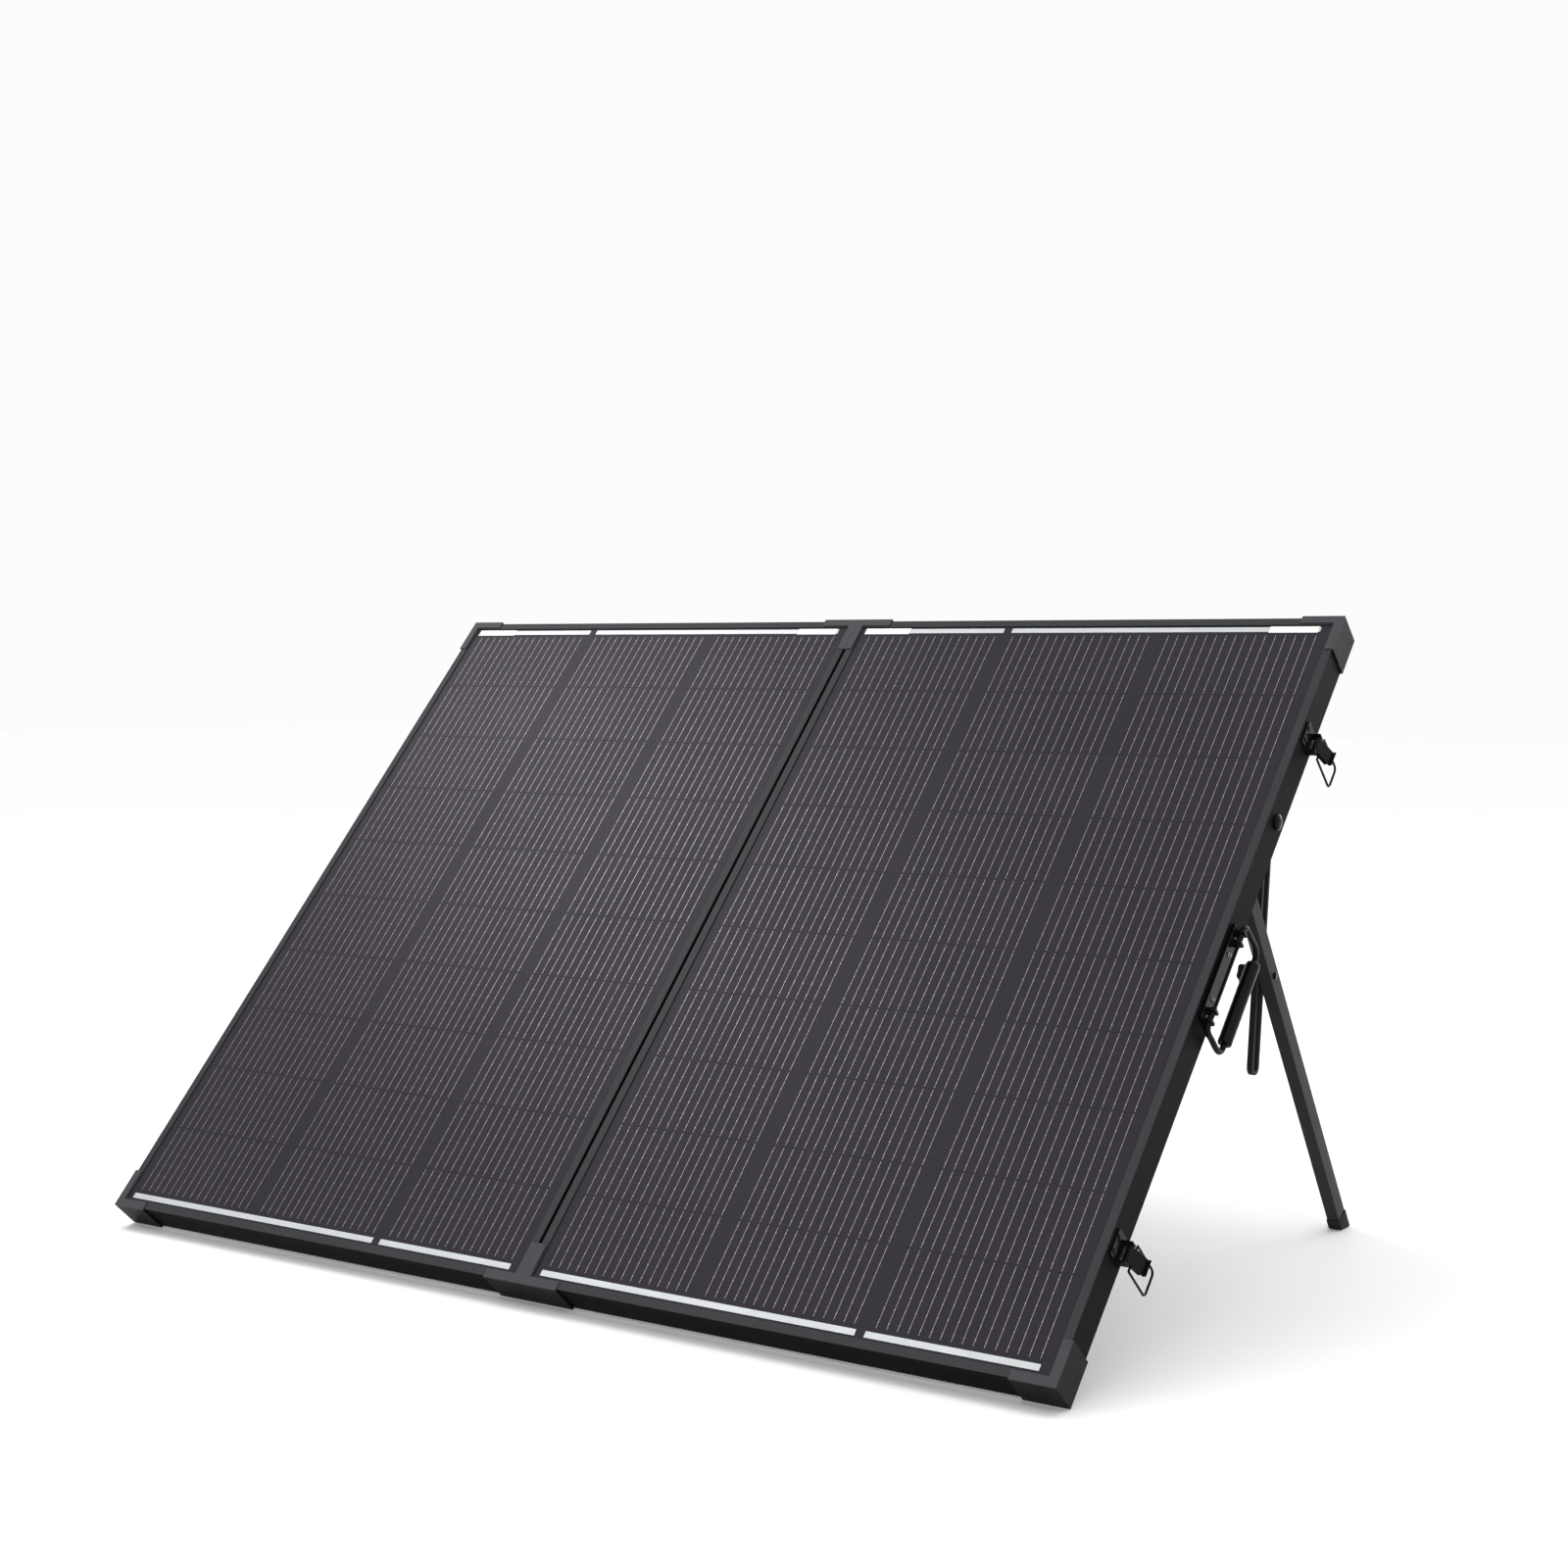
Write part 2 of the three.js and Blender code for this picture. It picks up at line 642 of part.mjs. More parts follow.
function controllerCover() {
  const [u0, u1] = CTRL_U;
  const [v0, v1] = CTRL_V;
  return cut(
    join(
      plate(rounded(u0 - 1, u1 + 1, v0 - 1, v1 + 1, 4, 2), 26.3, 29.5),
      plate(rounded(u0 + 1, u1 - 1, v0 + 1, v1 - 1, 5, 2), 28, CTRL_FACE),
    ),
    box(99, 158, 774, 791, 32, 40),
    rodD(6, 31, 40, 91, 790, 18),
    rodD(6, 31, 40, 91, 777, 18),
  );
}

function wireRun(points) {
  return tube(points, 1.6, 5, 6);
}

// ---- assembly ----
function panel(side) {
  const flip = side === 'left' ? mirrored : (g) => g;
  const group = new THREE.Group();
  group.name = `${side}_panel_group`;
  const put = (name, look, geo) => group.add(mesh(`${side}_${name}`, look, flip(geo)));
  const frame = rails();
  if (side === 'right') frame.top_rail = join(frame.top_rail, ...controllerFixedLeaves());
  Object.entries(frame).forEach(([name, geo]) => put(name, 'anodised', geo));
  Object.entries(cornerGuards()).forEach(([name, geo]) => put(name, 'guard', geo));
  put('laminate', 'laminate', laminate());
  put('cells', 'cell', cells());
  put('strut_bracket', 'coated', strutBracket());
  put('leg_bracket', 'coated', legBracket());
  ['lower', 'upper'].forEach((which, k) => {
    const leaf = side === 'left' ? leftLeaf(HINGE_V[k]) : rightLeaf(HINGE_V[k]);
    put(`${which}_hinge_leaf`, 'black_steel', leaf);
  });
  const hang = (name, look, geo, v, d, angle, parts = []) => {
    const pivot = new THREE.Group();
    pivot.position.set(0, v, -d);
    pivot.rotation.x = angle;
    pivot.add(mesh(`${side}_${name}`, look, flip(geo)));
    parts.forEach(([n, l, g]) => pivot.add(mesh(`${side}_${n}`, l, flip(g))));
    group.add(pivot);
  };
  const knob = starKnob().translate(0, -CLAMP_AT, 0);
  hang('leg', 'coated', legBar(), LEG_V, PIVOT_D, LEG_ANGLE, [
    ['foot', 'rubber', legFoot()],
    ['clamp_knob', 'plastic', knob],
  ]);
  hang('strut', 'coated', strutBar(), STRUT_V, PIVOT_D, STRUT_ANGLE);
  return group;
}

function sideFittings(group) {
  const [pu, pd] = LATCH_PIVOT;
  ['lower', 'upper'].forEach((which, k) => {
    group.add(mesh(`${which}_latch_base`, 'black_steel', latchBase(LATCH_V[k])));
    const lever = new THREE.Group();
    lever.position.set(pu, LATCH_V[k], -pd);
    lever.rotation.y = -LEVER_OUT;
    lever.add(mesh(`${which}_latch_lever`, 'black_steel', latchLever()));
    const bail = mesh(`${which}_latch_bail`, 'black_steel', latchBail());
    const du = BAIL_ARM * Math.sin(LEVER_OUT);
    const dd = BAIL_ARM * Math.cos(LEVER_OUT);
    bail.position.set(pu + du, LATCH_V[k], -pd - dd);
    group.add(lever, bail);
  });
  group.add(mesh('handle_base', 'black_steel', handleBase()));
  const handle = new THREE.Group();
  handle.position.set(HANDLE_PIVOT[0], HANDLE_V, -HANDLE_PIVOT[1]);
  handle.add(mesh('handle_bail', 'black_steel', handleBail()));
  handle.add(mesh('handle_grip', 'grip', handleGrip()));
  group.add(handle);
}

function controller(group) {
  group.add(mesh('controller_tray', 'coated', controllerTray()));
  group.add(mesh('controller_housing', 'plastic', controllerHousing()));
  group.add(mesh('controller_cover', 'plastic', controllerCover()));
  group.add(mesh('controller_screen', 'screen', box(99.4, 157.6, 774.4, 790.6, 32.3, 33.3)));
  group.add(mesh('upper_button', 'button', rodD(5.6, 32.3, 34.8, 91, 790, 18)));
  group.add(mesh('lower_button', 'button', rodD(5.6, 32.3, 34.8, 91, 777, 18)));
}

const PLUG_U = [322, 306];
const LINK = [
  [278, 743.4, 17], [277.4, 736, 17.3], [273, 725, 19], [264, 717, 22], [253, 713, 26], [243, 717, 30],
  [234, 732, 34], [228, 752, 38], [222, 772, 41], [212, 793, 42], [197, 807, 42.5], [180, 814, 42.5],
  [161, 816.5, 42.5], [135, 817.5, 42.5], [110, 818, 42.5], [85, 817, 42.5], [59, 812, 43],
  [40, 802, 44.5], [23, 789, 47.5], [8, 777, 50], [-8, 765, 50], [-24, 753, 48], [-42, 739, 43.5],
  [-64, 722, 37], [-92, 709, 28], [-122, 700, 19], [-150, 696, 14], [-180, 694, 12], [-206, 697, 12],
  [-231, 704, 13], [-254, 713, 14.5], [-272, 723, 16], [-284, 734, 16.6], [-288.6, 742, 17], [-289, 748.4, 17],
];

// the feed from the junction box, with a red and a black tail and a plug on each
function pvFeed() {
  const jacket = [[321, 743.4, 17], [321, 722, 14], [319, 690, 11.6], [316, 655, 11.6], [314, 622, 11.6]];
  return join(
    tube(jacket, 3.3, 12, 8),
    wireRun([[315.5, 624, 11.6], [319.5, 610, 11.8], [322, 597, 12.6]]),
    wireRun([[312.5, 624, 11.6], [308.5, 610, 11.8], [306, 597, 12.6]]),
    ...PLUG_U.map((u) => join(rodV(4.6, 574, 600, u, 13, 10), box(u - 5.4, u + 5.4, 573.8, 581, 8.4, 17.6))),
  );
}

// the mating plugs, and the lead that loops up to the controller
function pvJumper() {
  const jacket = [
    [316, 528, 11.8], [317, 505, 11.6], [310, 478, 11.6], [288, 455, 11.6], [255, 444, 11.6],
    [215, 450, 11.6], [180, 474, 11.6], [158, 512, 11.6], [148, 560, 11.6], [146, 610, 11.8], [145, 668, 12.5],
  ];
  return join(
    tube(jacket, 3.3, 30, 8),
    wireRun([[317, 526, 11.8], [320, 540, 11.9], [322, 556, 12.6]]),
    wireRun([[314.8, 526, 11.8], [308, 540, 11.9], [306, 556, 12.6]]),
    ...PLUG_U.map((u) => join(rodV(4.6, 552, 573.4, u, 13, 10), box(u - 5.4, u + 5.4, 564, 573.4, 8.4, 17.6))),
    wireRun([[146.4, 665, 12.4], [148, 684, 14], [151, 702, 17]]),
    wireRun([[143.8, 665, 12.4], [141.6, 684, 14], [141, 702, 17]]),
  );
}

function batteryLead() {
  const jacket = [[121, 668, 12.5], [120, 658, 12], [118, 646, 12], [115, 636, 13], [111.8, 628.5, 14]];
  return join(
    tube(jacket, 3.3, 10, 8),
    wireRun([[122.2, 665, 12.4], [124, 684, 14], [127, 702, 17]]),
    wireRun([[119.8, 665, 12.4], [117.6, 684, 14], [117, 702, 17]]),
  );
}

function batteryCoil() {
  const section = Array.from({ length: 9 }, (_, i) => {
    const a = (2 * Math.PI * i) / 8;
    return new THREE.Vector2(37.5 + 6.4 * Math.cos(a), 6.2 * Math.sin(a));
  });
  return new THREE.LatheGeometry(section, 28).rotateX(Math.PI / 2).translate(65, 614, -14.6);
}

const right = panel('right');
const left = panel('left');
sideFittings(right);
controller(right);
right.add(mesh('right_junction_box', 'plastic', junctionBox(300, 801, [278, 321])));
left.add(mesh('left_junction_box', 'plastic', junctionBox(-291, 806, [-289])));
left.add(mesh('lower_catch', 'black_steel', mirrored(catchPlate(LATCH_V[0]))));
left.add(mesh('upper_catch', 'black_steel', mirrored(catchPlate(LATCH_V[1]))));
right.add(mesh('link_cable', 'cable', tube(LINK, 3.3, 60, 8)));
right.add(mesh('pv_lead', 'cable', pvFeed()));
right.add(mesh('controller_lead', 'cable', pvJumper()));
right.add(mesh('battery_lead', 'cable', batteryLead()));
right.add(mesh('battery_coil', 'cable', batteryCoil()));

const stand = new THREE.Group();
stand.name = 'stand';
stand.rotation.x = TILT;
stand.add(right, left);

const root = new THREE.Group();
root.name = 'solar_suitcase';
root.add(stand);
root.updateMatrixWorld(true);
const bounds = new THREE.Box3().setFromObject(root, true);
root.position.set(
  -(bounds.min.x + bounds.max.x) / 2,
  -(bounds.min.y + bounds.max.y) / 2,
  -bounds.min.z,
);
root.updateMatrixWorld(true);

export default root;
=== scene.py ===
"""Folding solar suitcase kit: finishes and fine pieces over its CAD frame."""
import json
import math
import bmesh
import bpy
from mathutils import Matrix, Vector

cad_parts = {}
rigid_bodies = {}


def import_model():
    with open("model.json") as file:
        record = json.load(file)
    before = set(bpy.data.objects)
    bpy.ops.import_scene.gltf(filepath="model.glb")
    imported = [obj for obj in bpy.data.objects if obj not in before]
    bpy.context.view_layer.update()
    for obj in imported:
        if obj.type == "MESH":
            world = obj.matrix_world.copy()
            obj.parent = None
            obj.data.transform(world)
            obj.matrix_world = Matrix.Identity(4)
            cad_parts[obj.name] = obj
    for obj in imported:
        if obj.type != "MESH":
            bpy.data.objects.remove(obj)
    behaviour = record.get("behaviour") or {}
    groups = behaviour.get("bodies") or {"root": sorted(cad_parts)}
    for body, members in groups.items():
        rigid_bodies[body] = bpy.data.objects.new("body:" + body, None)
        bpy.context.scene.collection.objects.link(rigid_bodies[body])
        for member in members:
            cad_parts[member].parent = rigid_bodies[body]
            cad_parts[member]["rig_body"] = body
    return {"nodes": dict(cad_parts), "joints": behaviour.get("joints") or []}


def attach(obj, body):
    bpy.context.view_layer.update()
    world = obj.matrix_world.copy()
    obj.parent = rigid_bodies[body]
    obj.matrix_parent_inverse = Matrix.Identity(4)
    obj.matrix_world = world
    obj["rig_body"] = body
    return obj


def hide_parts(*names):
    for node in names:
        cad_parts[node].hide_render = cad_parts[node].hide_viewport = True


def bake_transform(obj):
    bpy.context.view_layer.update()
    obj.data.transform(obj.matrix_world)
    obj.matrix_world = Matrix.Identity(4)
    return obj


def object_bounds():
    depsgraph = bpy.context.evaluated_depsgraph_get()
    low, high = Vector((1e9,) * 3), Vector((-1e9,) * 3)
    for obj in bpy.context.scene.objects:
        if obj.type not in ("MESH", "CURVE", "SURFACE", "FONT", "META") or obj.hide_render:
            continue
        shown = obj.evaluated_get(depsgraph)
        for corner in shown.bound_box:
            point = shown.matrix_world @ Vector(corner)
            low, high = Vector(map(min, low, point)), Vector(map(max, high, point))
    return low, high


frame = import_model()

CAD_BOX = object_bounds()
MM = 0.001


# ---- the panel's own frame: u across from the seam, v up the panel, d back from the glass ----
PANEL_W = 590
STRING_PITCH = 188
CELL_W = 182
CELLS_IN = 16
CELL_PITCH = 84.4
CELL_ROWS = 10
CELL_GAP = 1.2
CELLS_FROM = 23.4
CELLS_TO = CELLS_FROM + CELL_ROWS * CELL_PITCH
LIP_DEPTH = 1.7
# Below this v the frame rails' bottom faces are painted dark as shade.
PAINTED_SHADE_V = 3.2
GUARD_LIP_DEPTH = 1.15
# Below this v the guards' bottom faces are painted dark as shade.
GUARD_PAINTED_SHADE_V = 0.6
BACK_SHEET_DEPTH = 5.4
LEG_V = 633
LATCH_V = {"lower": 149, "upper": 741}
HINGE_V = {"lower": 102, "upper": 735}
SIDES = {"right": 1, "left": -1}


def joint_named(name):
    return next(j for j in frame["joints"] if j["name"] == name)


UP = -Vector(joint_named("panel_fold")["axis"]).normalized()
ACROSS = Vector((1, 0, 0))
BACK = UP.cross(ACROSS)
HANDLE_PIVOT = (595, 445, 20)
SEAM = Vector(joint_named("handle_swing")["pos_m"])
SEAM -= (ACROSS * HANDLE_PIVOT[0] + UP * HANDLE_PIVOT[1] + BACK * HANDLE_PIVOT[2]) * MM
TILT = math.atan2(UP.z, UP.y)


def at(u, v, d):
    """A point of the open panel, given in millimetres, in the row frame."""
    return SEAM + (ACROSS * u + UP * v + BACK * d) * MM


# ---- camera ----
def set_camera():
    data = bpy.data.cameras.new("view")
    data.sensor_width = 36
    data.lens = 55.38
    data.shift_y = 0.048
    data.clip_start = 0.05
    data.clip_end = 100
    camera = bpy.data.objects.new("view", data)
    bpy.context.scene.collection.objects.link(camera)
    camera.location = SEAM + Vector((1.5200, -1.7530, 0.6173))
    yaw = math.radians(34.52)
    pitch = math.radians(5.02)
    camera.rotation_euler = (math.pi / 2 - pitch, 0, yaw)
    bpy.context.scene.camera = camera


# ---- shader values ----
class Value:
    """A socket of a finish; arithmetic on it adds the Math nodes."""

    def __init__(self, finish, socket):
        self.finish = finish
        self.socket = socket

    def maths(self, operation, *terms):
        sockets = dict(enumerate(terms))
        return self.finish.node("ShaderNodeMath", {"operation": operation}, sockets)

    def __add__(self, other):
        return self.maths("ADD", self, other)

    __radd__ = __add__

    def __sub__(self, other):
        return self.maths("SUBTRACT", self, other)

    def __rsub__(self, other):
        return self.maths("SUBTRACT", other, self)

    def __mul__(self, other):
        return self.maths("MULTIPLY", self, other)

    __rmul__ = __mul__

    def __truediv__(self, other):
        return self.maths("DIVIDE", self, other)

    def __lt__(self, other):
        return self.maths("LESS_THAN", self, other)

    def __gt__(self, other):
        return self.maths("GREATER_THAN", self, other)

    def __abs__(self):
        return self.maths("ABSOLUTE", self)

    def floor(self):
        return self.maths("FLOOR", self)

    def fract(self):
        return self.maths("FRACT", self)

    def within(self, low, high):
        return (self > low) * (self < high)


class Finish:
    """A material on one Principled shader, made node by node."""

    def __init__(self, name, **constants):
        self.material = bpy.data.materials.new(name)
        self.material.use_nodes = True
        self.tree = self.material.node_tree
        self.tree.nodes.clear()
        self.skin = self.tree.nodes.new("ShaderNodeBsdfPrincipled")
        output = self.tree.nodes.new("ShaderNodeOutputMaterial")
        self.tree.links.new(self.skin.outputs["BSDF"], output.inputs["Surface"])
        for key, value in constants.items():
            self.skin.inputs[key.replace("_", " ")].default_value = value
        self.place = self.node("ShaderNodeTexCoord", out="Object")

    def node(self, kind, settings=None, sockets=None, out=0):
        made = self.tree.nodes.new(kind)
        for key, value in (settings or {}).items():
            if key == "stops":
                self.set_stops(made.color_ramp.elements, value)
            else:
                setattr(made, key, value)
        for key, value in (sockets or {}).items():
            self.feed(made.inputs[key], value)
        return Value(self, made.outputs[out])

    def feed(self, socket, value):
        if isinstance(value, Value):
            self.tree.links.new(value.socket, socket)
        else:
            socket.default_value = value

    def set_stops(self, elements, stops):
        while len(elements) < len(stops):
            elements.new(0.5)
        for element, (where, colour) in zip(elements, stops):
            element.position = where
            element.color = (*colour, 1)

    def set(self, **fed):
        for key, value in fed.items():
            self.feed(self.skin.inputs[key.replace("_", " ")], value)
        return self

    def on_panel(self):
        """The point's u, v and d on the open panel, in millimetres."""
        turn = Matrix.Rotation(-TILT, 3, "X")
        shift = turn @ SEAM * -1
        sockets = {"Vector": self.place, "Rotation": (-TILT, 0, 0), "Location": shift}
        local = self.node("ShaderNodeMapping", {"vector_type": "POINT"}, sockets)
        split = self.node("ShaderNodeSeparateXYZ", {}, {"Vector": local})
        outs = split.socket.node.outputs
        u, v, d = (Value(self, outs[k]) for k in range(3))
        return u * 1000, v * 1000, d * -1000

    def grain(self, size, detail=3.0, rough=0.55, stretch=(1, 1, 1), lean=0.0):
        """Noise with features of that size in millimetres."""
        fine = tuple(s / (size * MM) for s in stretch)
        sockets = {"Vector": self.place, "Scale": fine, "Rotation": (lean, 0, 0)}
        where = self.node("ShaderNodeMapping", {"vector_type": "POINT"}, sockets)
        sockets = {"Vector": where, "Scale": 1.0, "Detail": detail, "Roughness": rough}
        return self.node("ShaderNodeTexNoise", {}, sockets)

    def speckle(self, size, feature="F1"):
        sockets = {"Vector": self.place, "Scale": 1 / (size * MM)}
        return self.node("ShaderNodeTexVoronoi", {"feature": feature}, sockets)

    def ramp(self, value, *stops):
        settings = {"stops": [(p, (c, c, c) if isinstance(c, float) else c) for p, c in stops]}
        return self.node("ShaderNodeValToRGB", settings, {"Fac": value})

    def blend(self, factor, first, second):
        first, second = (c if isinstance(c, Value) else (*c, 1) for c in (first, second))
        sockets = {0: factor, 6: first, 7: second}
        return self.node("ShaderNodeMix", {"data_type": "RGBA"}, sockets, out=2)

    def soft_edge(self, radius):
        sockets = {"Radius": radius * MM}
        return self.node("ShaderNodeBevel", {"samples": 4}, sockets)

    def edge_wear(self, rounded):
        """1 on sharp edges and 0 on flat faces."""
        plain = self.node("ShaderNodeNewGeometry", out="Normal")
        dot = {"operation": "DOT_PRODUCT"}
        turn = self.node("ShaderNodeVectorMath", dot, {0: rounded, 1: plain}, out="Value")
        return self.ramp(1 - turn, (0.02, 0.0), (0.2, 1.0))

    def bump(self, height, depth, strength=1.0, over=None):
        sockets = {"Height": height, "Distance": depth * MM, "Strength": strength}
        if over is not None:
            sockets["Normal"] = over
        return self.node("ShaderNodeBump", {}, sockets)


# ---- finishes ----
def painted_metal(
    name, colour, worn, rough, edge=0.35, peel=1.2, coat=0.0, metal=0.0, shine=0.1
):
    """Coated metal with faint orange peel, dust in patches and paler edges."""
    f = Finish(name, Coat_Roughness=0.2, Specular_IOR_Level=shine)
    rounded = f.soft_edge(0.5)
    edges = f.edge_wear(rounded)
    patches = f.grain(60, 4)
    fine = f.grain(0.5, 2)
    scratch = f.grain(1.2, 5, 0.7, (0.08, 1, 1))
    marks = f.ramp(scratch, (0.66, 0.0), (0.72, 1.0))
    wear = edges * edge * f.ramp(f.grain(7, 4), (0.35, 0.1), (0.7, 1.0)) + marks * 0.08
    base = f.blend(patches, tuple(c * 0.85 for c in colour), tuple(c * 1.15 for c in colour))
    base = f.blend(wear, base, worn)
    f.set(Base_Color=base, Metallic=metal, Coat_Weight=coat)
    f.set(Roughness=rough + (patches - 0.5) * 0.14 + marks * 0.1 + fine * 0.04)
    skin = f.bump(f.grain(peel, 2) + fine * 0.25, 0.06, 0.5, rounded)
    return f.set(Normal=skin)


def anodised_metal():
    f = Finish("anodised_aluminium", Specular_IOR_Level=0.01)
    rounded = f.soft_edge(0.45)
    edges = f.edge_wear(rounded)
    draw = f.grain(0.6, 4, 0.6, (1, 1, 1))
    cloud = f.grain(90, 3)
    _, v, d = f.on_panel()
    # Painted light: the front lip is given a lighter colour than the sides of the same metal, for the
    # light that falls on the face by the glass.
    front = d < LIP_DEPTH
    tone = f.blend(cloud, (0.0055, 0.0055, 0.0056), (0.0085, 0.0085, 0.0087))
    lip = f.blend(cloud, (0.034, 0.036, 0.038), (0.043, 0.045, 0.048))
    base = f.blend(front, tone, lip)
    # Painted shade: the rails' downward-facing bottom faces behind the lip are painted nearly black,
    # for the shade under the frame.
    base = f.blend((v < PAINTED_SHADE_V) * (d > LIP_DEPTH), base, (0.002, 0.002, 0.002))
    base = f.blend(edges * 0.4, base, (0.16, 0.165, 0.17))
    f.set(Base_Color=base, Metallic=0.14 + cloud * 0.06)
    f.set(Roughness=0.42 + (cloud - 0.5) * 0.12 + draw * 0.08)
    return f.set(Normal=f.bump(draw, 0.03, 0.4, rounded))


def moulded_plastic(
    name, colour, rough, grain=0.45, depth=0.05, edge=0.25, shine=0.15, front=None
):
    """Moulded plastic with a spark-eroded texture and rubbed edges; front is a lighter colour painted
    on the face by the glass as light falling on it, and with it the underside is painted darker as
    shade.
    """
    f = Finish(name, Specular_IOR_Level=shine)
    rounded = f.soft_edge(0.6)
    edges = f.edge_wear(rounded)
    texture = f.speckle(grain)
    cloud = f.grain(35, 4)
    base = f.blend(cloud, tuple(c * 0.85 for c in colour), tuple(c * 1.18 for c in colour))
    if front:
        _, v, d = f.on_panel()
        # Painted shade: the guards' downward-facing bottom face is painted darker, for the shade under
        # them.
        base = f.blend(v < GUARD_PAINTED_SHADE_V, base, tuple(c * 0.45 for c in colour))
        # Painted light: the face by the glass takes the lighter front colour, for the light falling on
        # it.
        base = f.blend(d < GUARD_LIP_DEPTH, base, front)
    base = f.blend(edges * edge, base, tuple(min(1.0, c * 3 + 0.01) for c in colour))
    f.set(Base_Color=base)
    f.set(Roughness=rough + (cloud - 0.5) * 0.14 - edges * 0.12)
    return f.set(Normal=f.bump(texture + f.grain(1.1, 3) * 0.6, depth, 0.5, rounded))


def back_sheet():
    """Glass at the front, dark polymer sheet behind, with the cells showing faintly."""
    f = Finish("laminate_sheet", Specular_IOR_Level=0.12)
    u, v, d = f.on_panel()
    rear = d > BACK_SHEET_DEPTH
    cloud = f.grain(140, 4)
    weave = f.grain(0.7, 3)
    dull = f.blend(cloud, (0.0245, 0.0245, 0.0265), (0.033, 0.033, 0.0355))
    glass = f.blend(cloud, (0.0225, 0.0188, 0.0262), (0.0250, 0.0210, 0.0290))
    across = ((abs(u) - CELLS_IN) / STRING_PITCH).fract() * STRING_PITCH
    along = ((v - CELLS_FROM) / CELL_PITCH).fract() * CELL_PITCH
    inside = abs(u).within(CELLS_IN, PANEL_W - CELLS_IN) * v.within(CELLS_FROM, CELLS_TO)
    cell = (across < CELL_W) * (along > CELL_GAP) * inside
    dust = f.ramp(f.grain(9, 6, 0.65), (0.62, 0.0), (0.8, 1.0)) * f.grain(200, 2)
    base = f.blend(rear, glass, f.blend(dust * 0.16, dull, (0.12, 0.118, 0.112)))
    f.set(Base_Color=base)
    f.set(Roughness=0.44 + rear * 0.12 + (cloud - 0.5) * 0.15)
    ripple = cell * 0.5 + f.grain(26, 3) * 0.8 + weave * 0.12
    return f.set(Normal=f.bump(ripple * rear, 0.12, 0.5))


def cell_glass():
    """Textured solar glass over dark cells whose tint differs a little from one to the next."""
    f = Finish("cell_glass", Specular_IOR_Level=0.05)
    u, v, _ = f.on_panel()
    column = ((u + 4 * PANEL_W - 13) / STRING_PITCH).floor()
    row = ((v - CELLS_FROM) / CELL_PITCH).floor()
    spot = f.node("ShaderNodeCombineXYZ", {}, {0: column, 1: row})
    shade = f.node("ShaderNodeTexWhiteNoise", {}, {"Vector": spot}, out="Value")
    cloud = f.grain(180, 3)
    base = f.blend(shade, (0.0225, 0.0188, 0.0262), (0.0250, 0.0210, 0.0290))
    base = f.blend(cloud * 0.5, base, (0.0222, 0.0200, 0.0255))
    along = ((v - CELLS_FROM) / CELL_PITCH).fract()
    seam = (along > 0.988) + (along < 0.008)
    base = f.blend(seam * 0.15, base, (0.012, 0.010, 0.013))
    dust = f.ramp(f.grain(3.2, 6, 0.7), (0.60, 0.0), (0.86, 1.0))
    base = f.blend(dust * 0.05, base, (0.22, 0.21, 0.20))
    f.set(Base_Color=base)
    f.set(Roughness=0.40 + (cloud - 0.5) * 0.08 + dust * 0.1)
    return f.set(Normal=f.bump(f.speckle(1.6) + f.grain(0.6, 2) * 0.4, 0.03, 0.3))


def tinned_ribbon(name, colour, rough):
    """Soldered ribbon, a little uneven along its length."""
    f = Finish(name, Specular_IOR_Level=0.6)
    lumps = f.grain(3, 4)
    patches = f.grain(25, 3)
    base = f.blend(patches, tuple(c * 0.82 for c in colour), tuple(min(1, c * 1.08) for c in colour))
    f.set(Base_Color=base, Metallic=0.25 + lumps * 0.2)
    f.set(Roughness=rough + (lumps - 0.5) * 0.2)
    return f.set(Normal=f.bump(lumps, 0.04, 0.4))


def jacket(name, colour, rough=0.42):
    """Extruded cable jacket: satin, with faint rings and handling marks."""
    f = Finish(name, Specular_IOR_Level=0.5)
    cloud = f.grain(12, 4)
    fine = f.grain(0.8, 3)
    scuff = f.ramp(f.grain(5, 5, 0.7), (0.60, 0.0), (0.74, 1.0))
    base = f.blend(cloud, tuple(c * 0.8 for c in colour), tuple(min(1, c * 1.2) for c in colour))
    base = f.blend(scuff * 0.1, base, tuple(min(1, c * 2 + 0.05) for c in colour))
    f.set(Base_Color=base)
    f.set(Roughness=rough + (cloud - 0.5) * 0.16 + scuff * 0.12)
    return f.set(Normal=f.bump(fine + cloud * 0.8, 0.05, 0.5))


def plated_screw():
    f = Finish("plated_screw", Specular_IOR_Level=0.5)
    turning = f.grain(0.35, 4)
    cloud = f.grain(4, 3)
    base = f.blend(cloud, (0.42, 0.42, 0.41), (0.62, 0.62, 0.60))
    base = f.blend(f.ramp(f.grain(1.3, 5), (0.6, 0.0), (0.75, 1.0)) * 0.4, base, (0.16, 0.15, 0.14))
    f.set(Base_Color=base, Metallic=0.85 + cloud * 0.1)
    f.set(Roughness=0.24 + turning * 0.16)
    return f.set(Normal=f.bump(turning, 0.03, 0.4))


def blank_label():
    f = Finish("blank_label", Specular_IOR_Level=0.4)
    fibre = f.grain(0.5, 4)
    cloud = f.grain(14, 3)
    base = f.blend(cloud, (0.66, 0.66, 0.64), (0.78, 0.78, 0.77))
    f.set(Base_Color=f.blend(fibre * 0.2, base, (0.6, 0.59, 0.57)))
    f.set(Roughness=0.42 + cloud * 0.12)
    return f.set(Normal=f.bump(fibre + cloud * 2, 0.03, 0.4))


